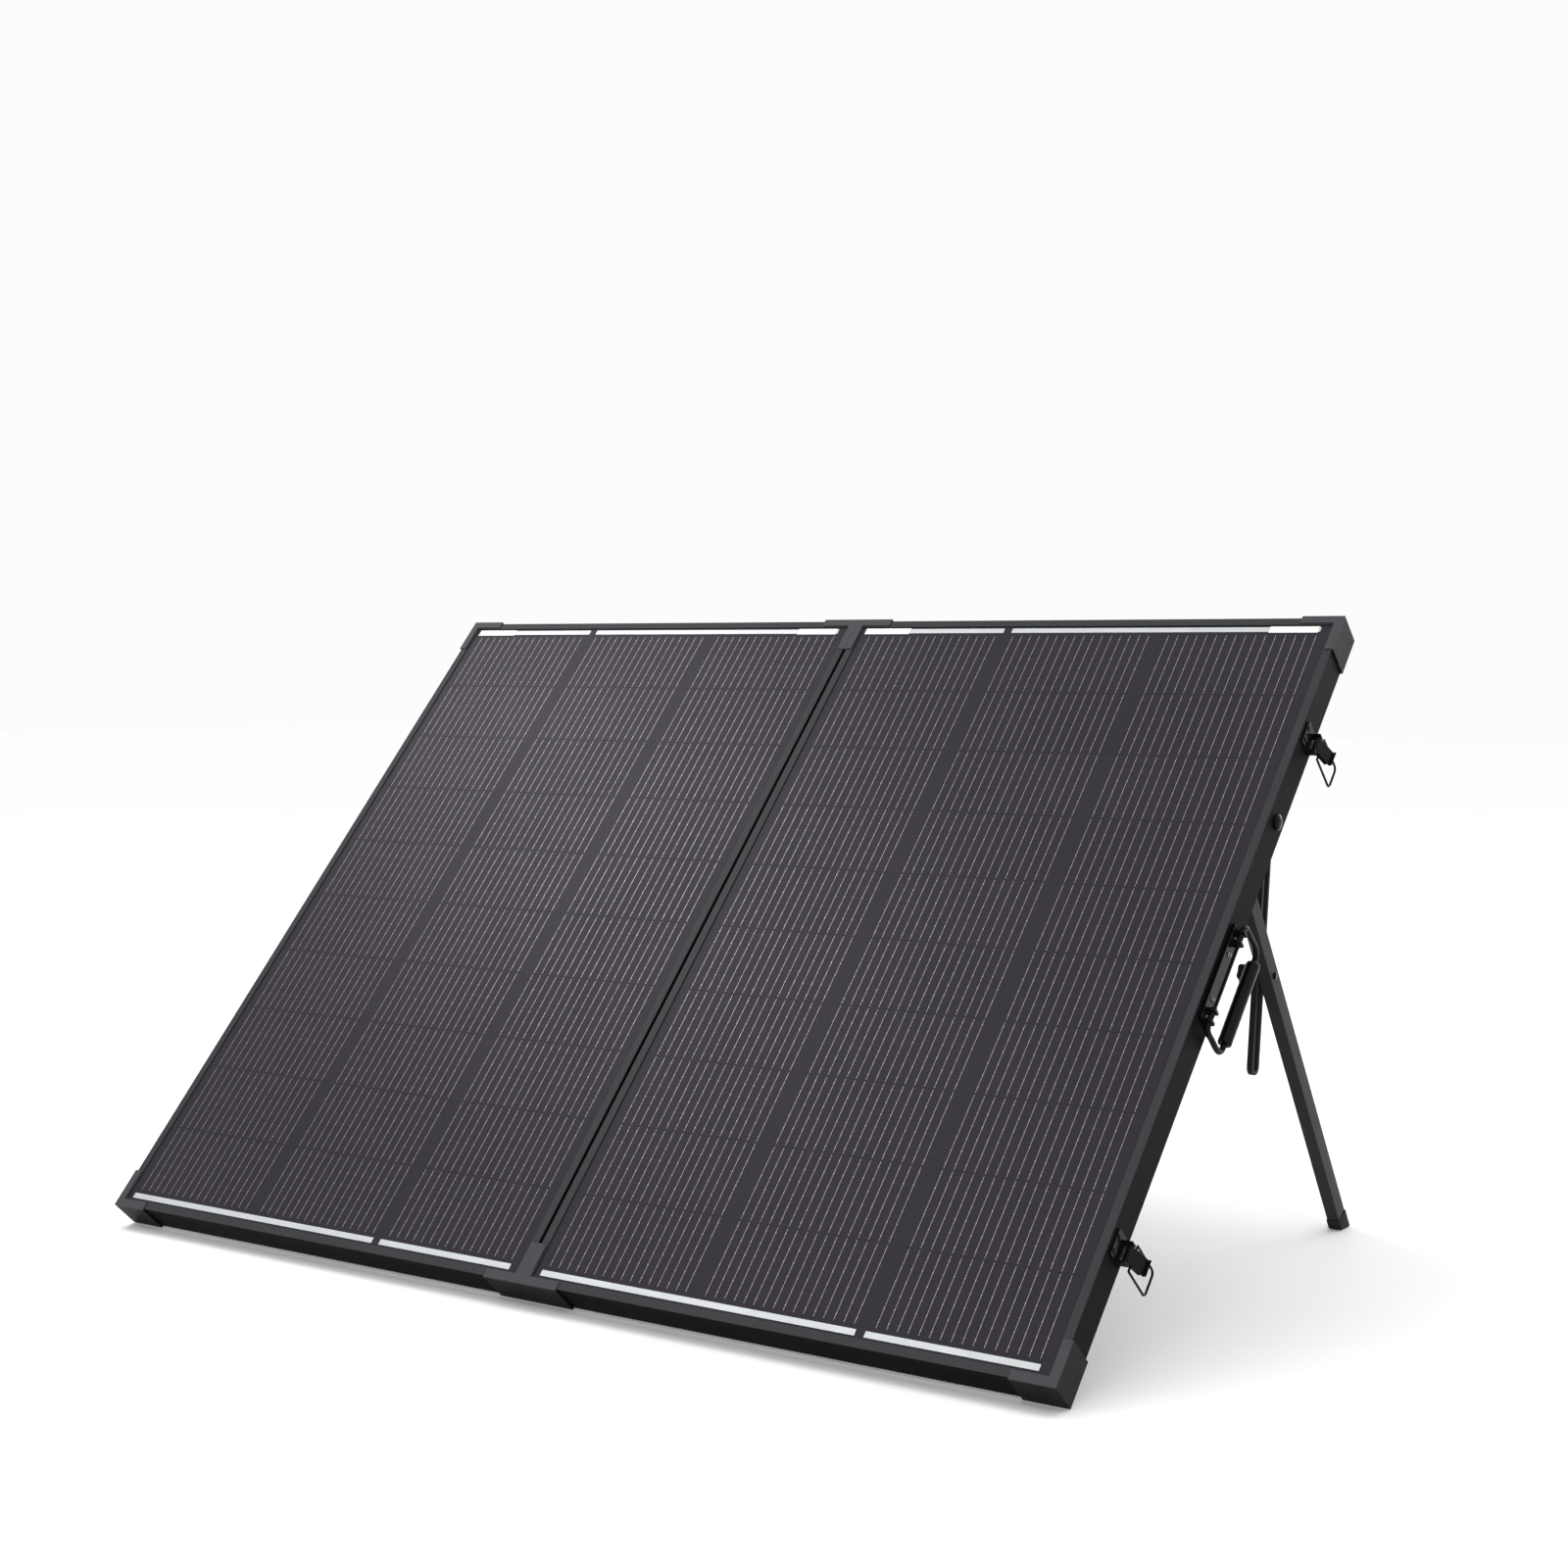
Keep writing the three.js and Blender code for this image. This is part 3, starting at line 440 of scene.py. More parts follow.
def lcd_glass():
    """A blank display: pale backing, fine dot grid, darker rim."""
    f = Finish("display_glass", Coat_Roughness=0.08)
    u, v, _ = f.on_panel()
    rim = 1 - u.within(101.4, 155.6) * v.within(776, 789)
    grid = (u * 1.8).fract().within(0.08, 0.92) * (v * 1.8).fract().within(0.08, 0.92)
    cloud = f.grain(30, 2)
    base = f.blend(cloud, (0.40, 0.45, 0.37), (0.48, 0.53, 0.44))
    base = f.blend((1 - grid) * 0.10, base, (0.22, 0.25, 0.20))
    base = f.blend(rim * 0.75, base, (0.08, 0.09, 0.08))
    f.set(Base_Color=base, Coat_Weight=0.8)
    f.set(Roughness=0.22 + cloud * 0.08)
    return f.set(Normal=f.bump(grid, 0.02, 0.3))


FRAME_METAL = anodised_metal()
# The last colour is the guards' front face, painted lighter as light falling on it.
GUARD = moulded_plastic(
    "guard_plastic", (0.0125, 0.0127, 0.0135), 0.45, 0.5, 0.03, 0.5, 0.05, (0.052, 0.054, 0.058)
)
LAMINATE = back_sheet()
CELLS = cell_glass()
RIBBON = tinned_ribbon("tinned_ribbon", (0.30, 0.275, 0.305), 0.35)
BUS = tinned_ribbon("end_ribbon", (0.46, 0.475, 0.48), 0.42)
COATED = painted_metal("powder_coated_steel", (0.021, 0.021, 0.0215), (0.07, 0.07, 0.07), 0.42)
GLOSS = painted_metal(
    "gloss_black_steel", (0.004, 0.004, 0.0042), (0.06, 0.06, 0.06), 0.17, 0.4, 2.5, 0.0, 0.2, 0.09
)
MOULDED = moulded_plastic("moulded_black", (0.016, 0.016, 0.0168), 0.48)
GRIP = moulded_plastic("grip_sleeve", (0.004, 0.004, 0.0042), 0.22, 0.8, 0.03, 0.1, 0.11)
RUBBER = moulded_plastic("foot_rubber", (0.017, 0.017, 0.0165), 0.78, 0.9, 0.09, 0.5)
CABLE = jacket("cable_jacket", (0.020, 0.020, 0.021))
RED = jacket("red_lead", (0.42, 0.020, 0.016), 0.38)
SCREW = plated_screw()
LABEL = blank_label()
DISPLAY = lcd_glass()
BUTTON = moulded_plastic("turquoise_button", (0.10, 0.42, 0.50), 0.42, 0.5, 0.03, 0.15)
ACCENT = moulded_plastic("teal_band", (0.05, 0.22, 0.26), 0.40, 0.5, 0.03, 0.1)

NODE_FINISHES = {
    "anodised": FRAME_METAL,
    "guard": GUARD,
    "laminate": LAMINATE,
    "cells": CELLS,
    "coated_steel": COATED,
    "black_steel": GLOSS,
    "black_plastic": MOULDED,
    "grip": GRIP,
    "rubber": RUBBER,
    "cable": CABLE,
    "button": BUTTON,
    "screen": DISPLAY,
}

NODE_SLOTS = {}


def finish_nodes():
    for name, node in frame["nodes"].items():
        for place in node.material_slots:
            NODE_SLOTS[name] = place.material.name.split(".")[0]
            place.material = NODE_FINISHES[NODE_SLOTS[name]].material


# ---- making pieces ----
def spokes(first, second, count):
    """Unit directions all the way round, from first towards second."""
    turns = (2 * math.pi * k / count for k in range(count))
    return [first * math.cos(a) + second * math.sin(a) for a in turns]


def bands(rings, sides, closed=False):
    """The faces between rings of points that follow one another."""
    faces = []
    for row in range(rings if closed else rings - 1):
        low, high = row * sides, (row + 1) % rings * sides
        for k in range(sides):
            n = (k + 1) % sides
            faces.append((low + k, low + n, high + n, high + k))
    if not closed:
        faces.append(tuple(reversed(range(sides))))
        faces.append(tuple(range((rings - 1) * sides, rings * sides)))
    return faces


def across_axis(axis):
    """Two directions square to the axis and to each other."""
    side = axis.orthogonal().normalized()
    return side, axis.cross(side)


class Work:
    """A piece being made in panel millimetres."""

    def __init__(self):
        self.mesh = bmesh.new()
        self.finishes = []

    def layer(self, finish):
        if finish not in self.finishes:
            self.finishes.append(finish)
        return self.finishes.index(finish)

    def add(self, points, faces, finish, smooth=True):
        spots = [self.mesh.verts.new(p) for p in points]
        index = self.layer(finish)
        for corners in faces:
            face = self.mesh.faces.new([spots[k] for k in corners])
            face.material_index = index
            face.smooth = smooth

    def slab(self, lo, hi, finish):
        """A block between two corners (u, v, d)."""
        points = [at(*(hi[k] if n >> k & 1 else lo[k] for k in range(3))) for n in range(8)]
        faces = [(0, 2, 3, 1), (4, 5, 7, 6), (0, 1, 5, 4), (2, 6, 7, 3), (0, 4, 6, 2), (1, 3, 7, 5)]
        self.add(points, faces, finish, False)

    def sheet(self, lo, hi, depth, finish):
        """A flat strip that faces out of the glass."""
        (u0, v0), (u1, v1) = lo, hi
        points = [at(u0, v0, depth), at(u1, v0, depth), at(u1, v1, depth), at(u0, v1, depth)]
        self.add(points, [(0, 1, 2, 3)], finish, False)

    def turned(self, profile, centre, axis, finish, sides=24):
        """A profile of (radius, height) turned about an axis through the centre point."""
        axis = axis.normalized()
        rays = spokes(*across_axis(axis), sides)
        points = [centre + (ray * r + axis * h) * MM for r, h in profile for ray in rays]
        self.add(points, bands(len(profile), sides), finish)

    def run(self, line, radius, finish, sides=14, closed=False):
        """A round bar or cable along a line of row-frame points."""
        count = len(line)
        heads = []
        for k in range(count):
            if closed:
                heads.append((line[(k + 1) % count] - line[k - 1]).normalized())
            else:
                heads.append((line[min(k + 1, count - 1)] - line[max(k - 1, 0)]).normalized())
        side = heads[0].orthogonal().normalized()
        points = []
        for here, head in zip(line, heads):
            side = (side - head * side.dot(head)).normalized()
            rays = spokes(side, head.cross(side), sides)
            points += [here + ray * radius * MM for ray in rays]
        self.add(points, bands(count, sides, closed), finish)

    def made(self, name, slot, body=None, replaces=(), bevel=0.0):
        mesh = bpy.data.meshes.new(name)
        bmesh.ops.recalc_face_normals(self.mesh, faces=self.mesh.faces)
        self.mesh.to_mesh(mesh)
        self.mesh.free()
        for finish in self.finishes:
            mesh.materials.append(finish.material)
        piece = bpy.data.objects.new(name, mesh)
        bpy.context.scene.collection.objects.link(piece)
        if bevel:
            edge = piece.modifiers.new("rounding", "BEVEL")
            edge.width = bevel * MM
            edge.segments = 2
            edge.limit_method = "ANGLE"
        if body:
            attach(piece, body)
        if replaces:
            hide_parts(*replaces)
        return piece


def smooth_line(points, steps):
    """A smooth centripetal curve through panel points, as evenly spaced row-frame points."""
    spots = [at(*p) for p in points]
    spots = [spots[0] * 2 - spots[1], *spots, spots[-1] * 2 - spots[-2]]
    fine = []
    for p0, p1, p2, p3 in zip(spots, spots[1:], spots[2:], spots[3:]):
        t0, t1, t2 = ((b - a).length ** 0.5 for a, b in ((p0, p1), (p1, p2), (p2, p3)))
        m1 = ((p1 - p0) / t0 - (p2 - p0) / (t0 + t1) + (p2 - p1) / t1) * t1
        m2 = ((p2 - p1) / t1 - (p3 - p1) / (t1 + t2) + (p3 - p2) / t2) * t1
        for k in range(24):
            t = k / 24
            a, b = 2 * t**3 - 3 * t**2 + 1, t**3 - 2 * t**2 + t
            c, e = 3 * t**2 - 2 * t**3, t**3 - t**2
            fine.append(p1 * a + m1 * b + p2 * c + m2 * e)
    fine.append(spots[-2])
    lengths = [0.0]
    for a, b in zip(fine, fine[1:]):
        lengths.append(lengths[-1] + (b - a).length)
    out = []
    k = 0
    for n in range(steps + 1):
        want = lengths[-1] * n / steps
        while k < len(fine) - 2 and lengths[k + 1] < want:
            k += 1
        share = (want - lengths[k]) / max(lengths[k + 1] - lengths[k], 1e-9)
        out.append(fine[k].lerp(fine[k + 1], min(share, 1.0)))
    return out


# ---- cables ----
LINK = [
    [278, 743.4, 17], [277.4, 736, 17.3], [273, 725, 19], [264, 717, 22], [253, 713, 26],
    [243, 717, 30], [234, 732, 34], [228, 752, 38], [222, 772, 41], [212, 793, 42],
    [197, 807, 42.5], [180, 814, 42.5], [161, 816.5, 42.5], [135, 817.5, 42.5], [110, 818, 42.5],
    [85, 817, 42.5], [59, 812, 43], [40, 802, 44.5], [23, 789, 47.5], [8, 777, 50], [-8, 765, 50],
    [-24, 753, 48], [-42, 739, 43.5], [-64, 722, 37], [-92, 709, 28], [-122, 700, 19],
    [-150, 696, 14], [-180, 694, 12], [-206, 697, 12], [-231, 704, 13], [-254, 713, 14.5],
    [-272, 723, 16], [-284, 734, 16.6], [-288.6, 742, 17], [-289, 748.4, 17],
]
FEED = [[321, 743.4, 17], [321, 722, 14], [319, 690, 11.6], [316, 655, 11.6], [314, 622, 11.6]]
LOOP = [
    [316, 528, 11.8], [317, 505, 11.6], [310, 478, 11.6], [288, 455, 11.6], [255, 444, 11.6],
    [215, 450, 11.6], [180, 474, 11.6], [158, 512, 11.6], [148, 560, 11.6], [146, 610, 11.8],
    [145, 668, 12.5],
]
BATTERY = [
    [121, 668, 12.5], [120, 658, 12], [117.5, 645, 12], [113.5, 631, 13], [109, 617, 14.3],
    [105, 604, 15.2], [100.5, 594, 15.6],
]
PLUG_U = (322, 306)
JACKET_R = 3.3
TAIL_R = 1.6
LEAD_R = 2.95
COIL_AT = (65, 614, 14.6)
COIL_R = 37.5
COIL_TURNS = 3


def tail(work, points, finish):
    work.run(smooth_line(points, 14), TAIL_R, finish, 10)


def link_cable():
    work = Work()
    work.run(smooth_line(LINK, 150), JACKET_R, CABLE)
    piece = work.made("link_run", "cable", replaces=["link_cable"])
    at(34, 777, 45)
    at(-34, 777, 45)
    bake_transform(piece)


def plug(work, u, v0, v1, nose):
    """One half of a plug pair: barrel and ribbed nut at its tail."""
    length = v1 - v0
    steps = [(2.2, 0), (3.6, 0.4), (4.5, 2.0), (4.6, 9.5), (4.1, 9.9), (4.1, 10.6), (4.55, 11.0)]
    profile = [*steps, (4.55, length - 0.6), (4.0, length)]
    up = 1 if nose > 0 else -1
    start = at(u, v0 if up > 0 else v1, 13)
    work.turned(profile, start, UP * up, MOULDED, 28)
    for ray in spokes(ACROSS, BACK, 10):
        low = start + ray * 4.55 * MM + UP * up * 2.2 * MM
        work.run([low, low + UP * up * 6.6 * MM], 0.5, MOULDED, 6)


def pv_leads():
    feed = Work()
    feed.run(smooth_line(FEED, 40), JACKET_R, CABLE)
    tail(feed, [[315.5, 626, 11.6], [319.5, 610, 11.8], [322, 598, 12.8]], RED)
    tail(feed, [[312.5, 626, 11.6], [308.5, 610, 11.8], [306, 598, 12.8]], CABLE)
    for u in PLUG_U:
        plug(feed, u, 573.9, 600, -1)
        feed.slab((u - 5.3, 574, 8.5), (u + 5.3, 581, 17.5), MOULDED)
    feed.made("panel_feed", "cable", "right_panel", ["pv_lead"], 0.5)
    mates = Work()
    for u in PLUG_U:
        plug(mates, u, 552, 573.3, 1)
        mates.slab((u - 5.3, 564.2, 8.5), (u + 5.3, 573.3, 17.5), MOULDED)
    mates.made("mating_plugs", "cable", "right_panel", bevel=0.5)
    loop = Work()
    loop.run(smooth_line(LOOP, 110), JACKET_R, CABLE)
    tail(loop, [[317, 524, 11.8], [320, 540, 11.9], [322, 555, 12.8]], RED)
    tail(loop, [[314.8, 524, 11.8], [308, 540, 11.9], [306, 555, 12.8]], CABLE)
    tail(loop, [[146.4, 665, 12.4], [148, 684, 14], [151, 702, 17]], RED)
    tail(loop, [[143.8, 665, 12.4], [141.6, 684, 14], [141, 702, 17]], CABLE)
    piece = loop.made("controller_loop", "cable", replaces=["controller_lead"])
    at(180, 545, 12)
    at(146, 668, 12)
    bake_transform(piece)


def battery_run():
    work = Work()
    work.run(smooth_line(BATTERY, 30), LEAD_R, CABLE)
    tail(work, [[122.2, 663, 12.4], [124, 684, 14], [127, 702, 17]], RED)
    tail(work, [[119.8, 663, 12.4], [117.6, 684, 14], [117, 702, 17]], CABLE)
    piece = work.made("battery_run", "cable", replaces=["battery_lead"])
    at(104, 602, 15)
    at(121, 668, 12.5)
    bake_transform(piece)


def battery_coil():
    """Three turns that lie against each other all the way round."""
    work = Work()
    uc, vc, dc = COIL_AT
    apart = LEAD_R * 2 / math.sqrt(3)
    line = []
    count = 180
    for k in range(count):
        about = 2 * math.pi * k / count
        round_coil = about * COIL_TURNS
        out = COIL_R + apart * math.cos(about)
        place = at(uc + out * math.cos(round_coil), vc + out * math.sin(round_coil), dc)
        line.append(place + BACK * apart * math.sin(about) * MM)
    work.run(line, LEAD_R, CABLE, 12, closed=True)
    work.made("battery_turns", "cable", "right_panel", ["battery_coil"])


# ---- ribbons, labels ----
def ribbons(side):
    """Sixteen soldered ribbons on each of three strings, broken where two cells meet."""
    work = Work()
    ribbon_pitch = 11
    pads = 6
    for string in (-1, 0, 1):
        centre = SIDES[side] * PANEL_W / 2 + string * STRING_PITCH
        for k in range(16):
            u = centre + (k - 7.5) * ribbon_pitch
            for row in range(CELL_ROWS):
                v = CELLS_FROM + CELL_PITCH * row
                work.sheet((u - 0.22, v + 1.1), (u + 0.22, v + 83.3), 2.42, RIBBON)
                for pad in range(pads):
                    w = v + CELL_PITCH * (pad + 0.5) / pads
                    work.sheet((u - 0.45, w - 0.7), (u + 0.45, w + 0.7), 2.38, RIBBON)
    work.made(f"{side}_ribbons", "cells", f"{side}_panel")


def glass_face(side):
    """One unbroken glass face over the strings, tucked under the frame's lips."""
    work = Work()
    low, high = sorted((SIDES[side] * 4.7, SIDES[side] * 585.3))
    work.slab((low, 4.7, 2.55), (high, 886.3, 3.2), CELLS)
    work.made(f"{side}_glass_face", "cells", f"{side}_panel", [f"{side}_cells"])


def end_ribbons(side):
    work = Work()
    first = 0 if side == "right" else -PANEL_W
    low = [(18, 382), (392, 568)]
    high = [(18, 198), (208, 568)]
    for u0, u1 in low:
        work.sheet((first + u0, 13.4), (first + u1, 19.8), 2.4, BUS)
    for u0, u1 in high:
        work.sheet((first + u0, 871), (first + u1, 877.6), 2.4, BUS)
    for u0, u1 in ((16, 76), (512, 566)):
        work.sheet((first + u0, 869.6), (first + u1, 878.4), 2.2, LABEL)
    work.made(f"{side}_end_ribbons", "cells", f"{side}_panel")


def rear_labels():
    work = Work()
    work.slab((405, 667, 7.6), (456, 677, 7.75), LABEL)
    work.made("right_rear_label", "laminate", "right_panel")
    work = Work()
    work.slab((-193, 658, 7.6), (-142, 668, 7.75), LABEL)
    work.made("left_rear_label", "laminate", "left_panel")
    work = Work()
    work.slab((-1.7, 672, 7), (1.7, 697, 31), RUBBER)
    work.made("seam_buffer", "guard", "right_panel", bevel=0.6)


# ---- eased edges: each hard part keeps its CAD shape and loses its knife edges ----
EASE = {
    "anodised": 0.35,
    "guard": 0.9,
    "coated_steel": 0.5,
    "black_steel": 0.35,
    "black_plastic": 0.4,
    "rubber": 0.9,
    "button": 0.7,
}
REMADE = ("handle_bail", "handle_grip", "clamp_knob", "latch_bail")


def eased(name, slot):
    """The node's shape with rounded edges, on the node's body."""
    node = frame["nodes"][name]
    mesh = bmesh.new()
    mesh.from_mesh(node.data)
    bmesh.ops.remove_doubles(mesh, verts=mesh.verts, dist=1e-6)
    bmesh.ops.dissolve_limit(
        mesh, angle_limit=math.radians(1), verts=mesh.verts, edges=mesh.edges
    )
    for face in mesh.faces:
        face.smooth = True
    data = bpy.data.meshes.new(name + "_eased")
    mesh.to_mesh(data)
    mesh.free()
    data.materials.clear()
    data.materials.append(NODE_FINISHES[slot].material)
    piece = bpy.data.objects.new(name + "_eased", data)
    bpy.context.scene.collection.objects.link(piece)
    edge = piece.modifiers.new("rounding", "BEVEL")
    edge.width = EASE[slot] * MM
    edge.segments = 2
    edge.limit_method = "ANGLE"
    edge.angle_limit = math.radians(35)
    shading = piece.modifiers.new("shading", "WEIGHTED_NORMAL")
    shading.mode = "FACE_AREA"
    shading.weight = 100
    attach(piece, node["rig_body"])
    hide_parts(name)


def ease_nodes():
    for name, slot in NODE_SLOTS.items():
        if slot in EASE and not name.endswith(REMADE):
            eased(name, slot)


# ---- fasteners ----
def screw_head(work, centre, axis, radius, height, finish=None, washer=0.0):
    """A domed head with a cross recess, and a washer under it where there is one."""
    finish = finish or SCREW
    axis = axis.normalized()
    side, other = across_axis(axis)
    rings, sides = 9, 32
    points = [centre + axis * height * 0.45 * MM]
    for ring in range(1, rings + 1):
        r = radius * ring / rings
        for k in range(sides):
            a = 2 * math.pi * k / sides
            x, y = r * math.cos(a), r * math.sin(a)
            h = height * (1 - 0.5 * (ring / rings) ** 3)
            near, far = sorted((abs(x), abs(y)))
            if near < 0.17 * radius and far < 0.6 * radius:
                h -= height * 0.5
            points.append(centre + (side * x + other * y + axis * h) * MM)
    last = 1 + (rings - 1) * sides
    points += [centre + ray * radius * MM for ray in spokes(side, other, sides)]
    faces = [(0, 1 + k, 1 + (k + 1) % sides) for k in range(sides)]
    for row in range(rings):
        low = 1 + row * sides
        for k in range(sides):
            n = (k + 1) % sides
            faces.append((low + k, low + sides + k, low + sides + n, low + n))
    faces.append(tuple(last + sides + k for k in range(sides)))
    work.add(points, faces, finish)
    if washer:
        rim = [(washer, 0.0), (washer, 0.5), (washer - 0.25, 0.7), (radius * 0.6, 0.7)]
        work.turned([(radius * 0.6, 0.0), *rim], centre, axis, finish, 32)


def dome_cap(work, centre, axis, radius, height):
    profile = [(radius, -0.2), (radius + 0.15, 0.2), (radius + 0.1, height * 0.35)]
    for k in range(1, 7):
        a = math.pi / 2 * k / 6
        rise = height * (0.35 + 0.7 * math.sin(a))
        profile.append((radius * math.cos(a) + 0.05, rise))
    work.turned(profile, centre, axis, GLOSS, 36)


def fasteners():
    side_face = 588.3
    for side, s in SIDES.items():
        caps = Work()
        dome_cap(caps, at(s * side_face, LEG_V, 20), ACROSS * s, 8, 4.2)
        dome_cap(caps, at(s * 493, 889.3, 20), UP, 7, 3.4)
        caps.made(f"{side}_bolt_caps", "black_steel", f"{side}_panel")
        for which, v in HINGE_V.items():
            heads = Work()
            for u, dv in ((15, 10), (10, 27), (15, 44)):
                screw_head(heads, at(s * u, v + dv, 38.35), BACK, 3.4, 1.15)
            heads.made(f"{side}_{which}_hinge_screws", "black_steel", f"{side}_panel")
    fixed = Work()
    moving = Work()
    for u in (84, 171):
        for du in (-18, 0, 18):
            screw_head(fixed, at(u + du, 872, 38.3), BACK, 3.1, 1.3, GLOSS)
            screw_head(moving, at(u + du, 840, 38.3), BACK, 3.1, 1.3, GLOSS)
    fixed.made("tray_hinge_fixed_screws", "black_steel", "right_panel")
    moving.made("tray_hinge_moving_screws", "black_steel", "controller")
    tray = Work()
    for u in (52, 203):
        for v in (725, 783):
            screw_head(tray, at(u, v, 11.1), BACK, 4.1, 2.6, SCREW, 6.2)
    tray.made("tray_screws", "black_steel", "controller")
    base = Work()
    for dv in (-26, 26):
        screw_head(base, at(589.9, HANDLE_PIVOT[1] + dv, 20), ACROSS, 3.3, 2.2, SCREW)
    for v in LATCH_V.values():
        for dv in (-7, 7):
            screw_head(base, at(589.7, v + dv, 13), ACROSS, 2.7, 1.4, GLOSS)
    base.made("side_fitting_screws", "black_steel", "right_panel")
    catch = Work()
    for v in LATCH_V.values():
        for dv in (-5.5, 5.5):
            screw_head(catch, at(-589.7, v + dv, 26), ACROSS * -1, 2.5, 1.2, GLOSS)
    catch.made("catch_screws", "black_steel", "left_panel")


# ---- handle, latch wires, clamp knobs ----
def carrying_handle():
    half = [
        (36, 0), (45, 0), (54, 0), (58.9, 1.6), (60.5, 6), (60.5, 14), (60.5, 30), (59, 37),
        (55, 41), (49.5, 42), (40.5, 42),
    ]
    path = [(w, d) for w, d in half] + [(20, 42), (-20, 42)] + [(-w, d) for w, d in half[::-1]]
    pu, pv, pd = HANDLE_PIVOT
    work = Work()
    work.run(smooth_line([(pu, pv + w, pd + d) for w, d in path], 150), 3.0, GLOSS, 18)
    work.made("handle_rod", "black_steel", "handle", ["handle_bail"])
    sleeve = Work()
    profile = [(3.4, -47), (5.9, -47), (6.6, -46.4), (7, -45)]
    for k in range(19):
        w = -43 + 86 * k / 18
        profile.append((6.85 if k % 2 else 7.0, w))
    profile += [(7, 45), (6.6, 46.4), (5.9, 47), (3.4, 47)]
    sleeve.turned(profile, at(pu, pv, pd + 42), UP, GRIP, 48)
    sleeve.made("handle_sleeve", "grip", "handle", ["handle_grip"])


def latch_wires():
    lean = math.radians(20)
    for which, v in LATCH_V.items():
        u, d = 594.5 + 7.5 * math.sin(lean), 29 + 7.5 * math.cos(lean)
        w, long, r = 12.9, 44, 5
        corners = [(w - r, long - r), (-w + r, long - r)]
        line = []
        for k in range(9):
            line.append((w, (long - r) * k / 8))
        for n, (cw, cd) in enumerate(corners):
            for k in range(1, 9):
                a = math.pi / 2 * (n + k / 8)
                line.append((cw + r * math.cos(a), cd + r * math.sin(a)))
        for k in range(9):
            line.append((-w, (long - r) * (8 - k) / 8))
        for k in range(1, 8):
            line.append((-w + 2 * w * k / 8, 0))
        work = Work()
        work.run([at(u, v + a, d + b) for a, b in line], 1.2, GLOSS, 12, closed=True)
        work.made(f"{which}_wire_loop", "black_steel", f"{which}_bail", [f"{which}_latch_bail"])


def clamp_knobs():
    slices = [(502, 0.8), (502.6, 0.91), (503.8, 0.98), (505, 1.0), (510.5, 1.0)]
    slices += [(511.8, 0.98), (512.8, 0.91), (513.2, 0.8)]
    for side, s in SIDES.items():
        axis_point = Vector(joint_named(f"{side}_knob_turn")["pos_m"])
        centre = Vector((SEAM.x, axis_point.y, axis_point.z))
        work = Work()
        count = 80
        points = []
        for u, size in slices:
            for k in range(count):
                a = 2 * math.pi * k / count
                r = (10.2 + 1.3 * math.cos(5 * a)) * size
                ray = UP * math.cos(a) + BACK * math.sin(a)
                points.append(centre + (ACROSS * s * u + ray * r) * MM)
        work.add(points, bands(len(slices), count), MOULDED)
        out = ACROSS * s
        work.turned([(6, 512.5), (6, 518), (5.6, 518.3)], centre, out, MOULDED, 32)
        work.turned([(3, 517), (3, 541), (3.9, 541.2), (3.7, 542.1)], centre, out, GLOSS, 28)
        work.turned([(4.2, 501.2), (4.2, 502.2)], centre, out, SCREW, 28)
        work.made(f"{side}_star_knob", "black_plastic", f"{side}_knob", [f"{side}_clamp_knob"])


# ---- junction boxes and controller face ----
def gland_ribs(work, u, v):
    """Grip ribs round a cable gland's nut, with the seal where the cable comes out."""
    centre = at(u, v, 17)
    for ray in spokes(ACROSS, BACK, 14):
        low = centre + ray * 8.1 * MM - UP * 4.4 * MM
        work.run([low, low - UP * 9.2 * MM], 0.75, MOULDED, 8)
    seal = [(5.0, -25.2), (5.0, -26.6), (4.4, -27.4), (3.2, -27.6)]
    work.turned(seal, centre, UP, RUBBER, 28)


def box_details():
    for side, uc, vc, glands in (("right", 300, 801, (278, 321)), ("left", -291, 806, (-289,))):
        work = Work()
        for u in glands:
            gland_ribs(work, u, vc - 32)
        for dv in (8, -22):
            wide, tall, deep = (21.5, 11, 27.4) if dv > 0 else (25.5, 7, 26.6)
            low, high = vc + dv + 0.6, vc + dv + 0.6 + tall
            for k in range(9):
                u = uc - wide + 2 * wide * (k + 0.5) / 9
                lo, hi = (u - 0.5, low + 0.8, deep), (u + 0.5, high - 0.8, deep + 0.25)
                work.slab(lo, hi, MOULDED)
        work.made(f"{side}_box_details", "black_plastic", f"{side}_panel")


def controller_face():
    work = Work()
    rim = 0.9
    (left, right), (low, high) = (98.2, 158.8), (773.2, 791.8)
    for u0, u1, v0, v1 in (
        (left, right, low, low + rim),
        (left, right, high - rim, high),
        (left, left + rim, low, high),
        (right - rim, right, low, high),
    ):
        work.slab((u0, v0, 33.3), (u1, v1, 33.9), MOULDED)
    for v in (790, 777):
        ring = [at(91, v, 33.6) + ray * 6.3 * MM for ray in spokes(ACROSS, UP, 32)]
        work.run(ring, 0.35, MOULDED, 8, closed=True)
    for k in range(9):
        v = 717.5 + 1.9 * k
        line = [at(73 + 111 * n / 60, v + 0.9 * math.sin(n / 60 * 9 + k * 0.5), 33.5)
                for n in range(61)]
        work.run(line, 0.24, ACCENT, 6)
    work.made("controller_face", "black_plastic", "controller", bevel=0.15)


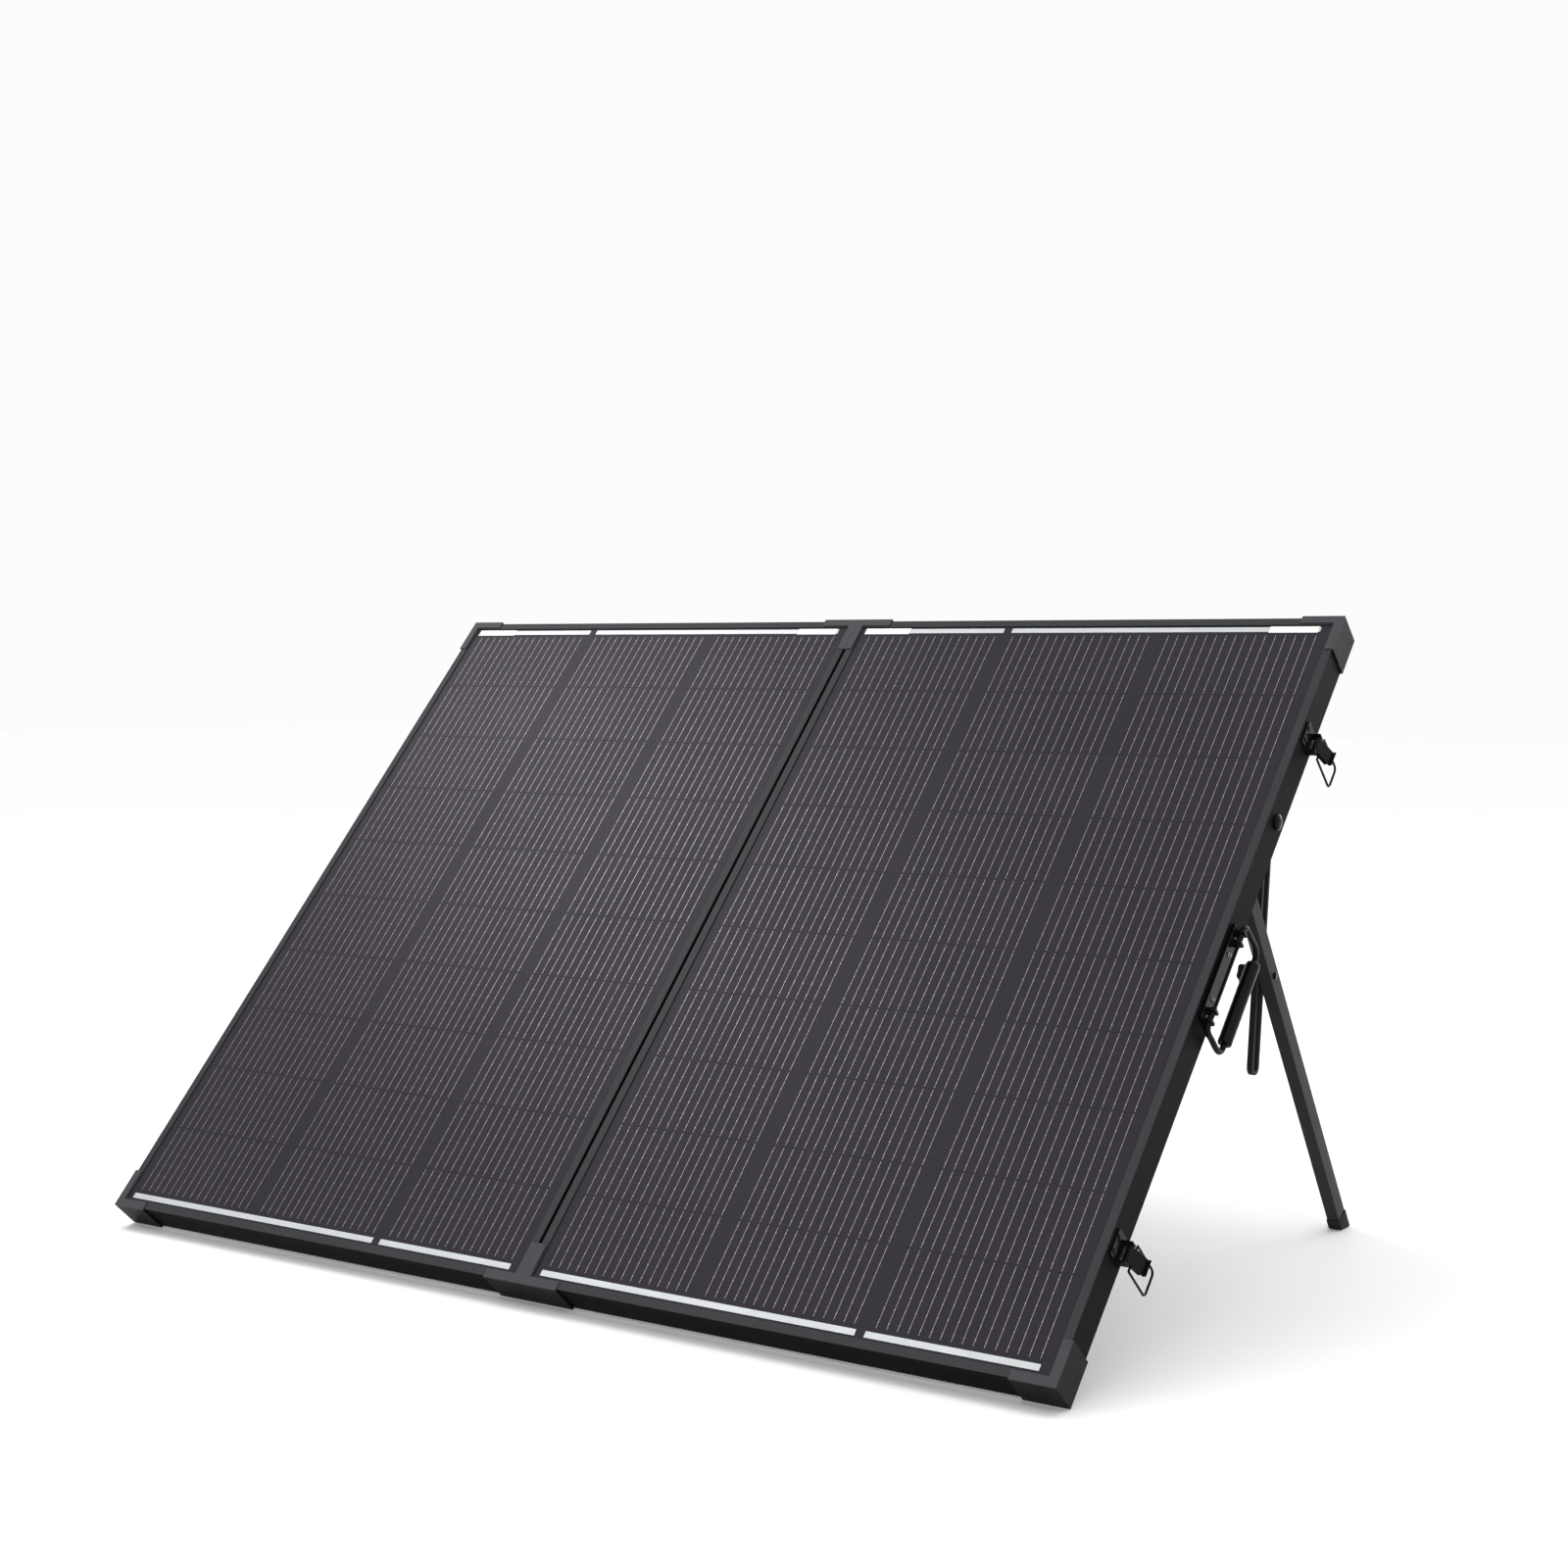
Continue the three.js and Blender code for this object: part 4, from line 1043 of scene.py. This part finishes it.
def coil_tie():
    """A strap round the three turns, and the lead's own end beside the coil."""
    uc, vc, dc = COIL_AT
    work = Work()
    for lean in (-0.045, 0.0, 0.045):
        a = math.radians(215) + lean
        out = ACROSS * math.cos(a) + UP * math.sin(a)
        middle = at(uc, vc, dc) + out * COIL_R * MM
        strap = [middle + ray * 6.6 * MM for ray in spokes(out, BACK, 28)]
        work.run(strap, 0.75, RUBBER, 8, closed=True)
    end = [[28, 622, 14.6], [25, 636, 14.2], [20, 650, 13.6], [17.5, 664, 13.2]]
    work.run(smooth_line(end, 24), LEAD_R, CABLE)
    for u, finish in ((13.6, CABLE), (21.4, RED)):
        tail(work, [[17.5, 662, 13.2], [u, 672, 13], [u, 682, 13]], finish)
        plug(work, u, 680, 700, 1)
    work.made("battery_end", "cable", "right_panel")


# ---- studio ----
def studio():
    world = bpy.data.worlds.new("studio")
    world.use_nodes = True
    world.node_tree.nodes["Background"].inputs["Color"].default_value = (1, 1, 1, 1)
    world.node_tree.nodes["Background"].inputs["Strength"].default_value = 0.97
    bpy.context.scene.world = world
    mesh = bmesh.new()
    bmesh.ops.create_grid(mesh, x_segments=4, y_segments=4, size=14)
    data = bpy.data.meshes.new("floor")
    mesh.to_mesh(data)
    mesh.free()
    floor = bpy.data.objects.new("floor", data)
    bpy.context.scene.collection.objects.link(floor)
    floor.location.z = CAD_BOX[0].z - 0.0005
    paper = Finish("floor_paper_far_glow", Specular_IOR_Level=0.2, Emission_Strength=1.0)
    cloud = paper.grain(900, 3)
    paper.set(Base_Color=paper.blend(cloud, (0.92, 0.92, 0.92), (0.95, 0.95, 0.95)))
    paper.set(Roughness=0.6 + cloud * 0.1)
    # Painted light: the floor glows more with distance from the middle, a painted brightening that
    # fades the far floor into the white world.
    length = {"operation": "LENGTH"}
    reach = paper.node("ShaderNodeVectorMath", length, {0: paper.place}, out="Value")
    paper.set(Emission_Color=paper.ramp(reach / 9, (0.12, 0.0), (0.5, 0.07)))
    data.materials.append(paper.material)
    lamp("key", (-1.8, -2.6, 3.2), 2.6, 30)
    lamp("sheen", (-1.85, -0.3, 2.5), 0.9, 24)
    lamp("side", (2.6, -1.7, 1.5), 0.4, 9)
    lamp("top", (0.2, 0.9, 3.6), 3.0, 28)
    lamp("rear", (0.9, 3.4, 1.3), 1.4, 20)


def lamp(name, place, size, power):
    data = bpy.data.lights.new(name, "AREA")
    data.shape = "SQUARE"
    data.size = size
    data.energy = power
    light = bpy.data.objects.new(name, data)
    bpy.context.scene.collection.objects.link(light)
    light.location = place
    aim = Vector((0, 0, 0.3)) - Vector(place)
    light.rotation_euler = aim.to_track_quat("-Z", "Y").to_euler()


set_camera()
link_cable()
pv_leads()
battery_run()
battery_coil()
finish_nodes()
for each in SIDES:
    glass_face(each)
    ribbons(each)
    end_ribbons(each)
rear_labels()
ease_nodes()
fasteners()
carrying_handle()
latch_wires()
clamp_knobs()
box_details()
controller_face()
coil_tie()
studio()
bpy.context.scene.view_settings.view_transform = "Standard"
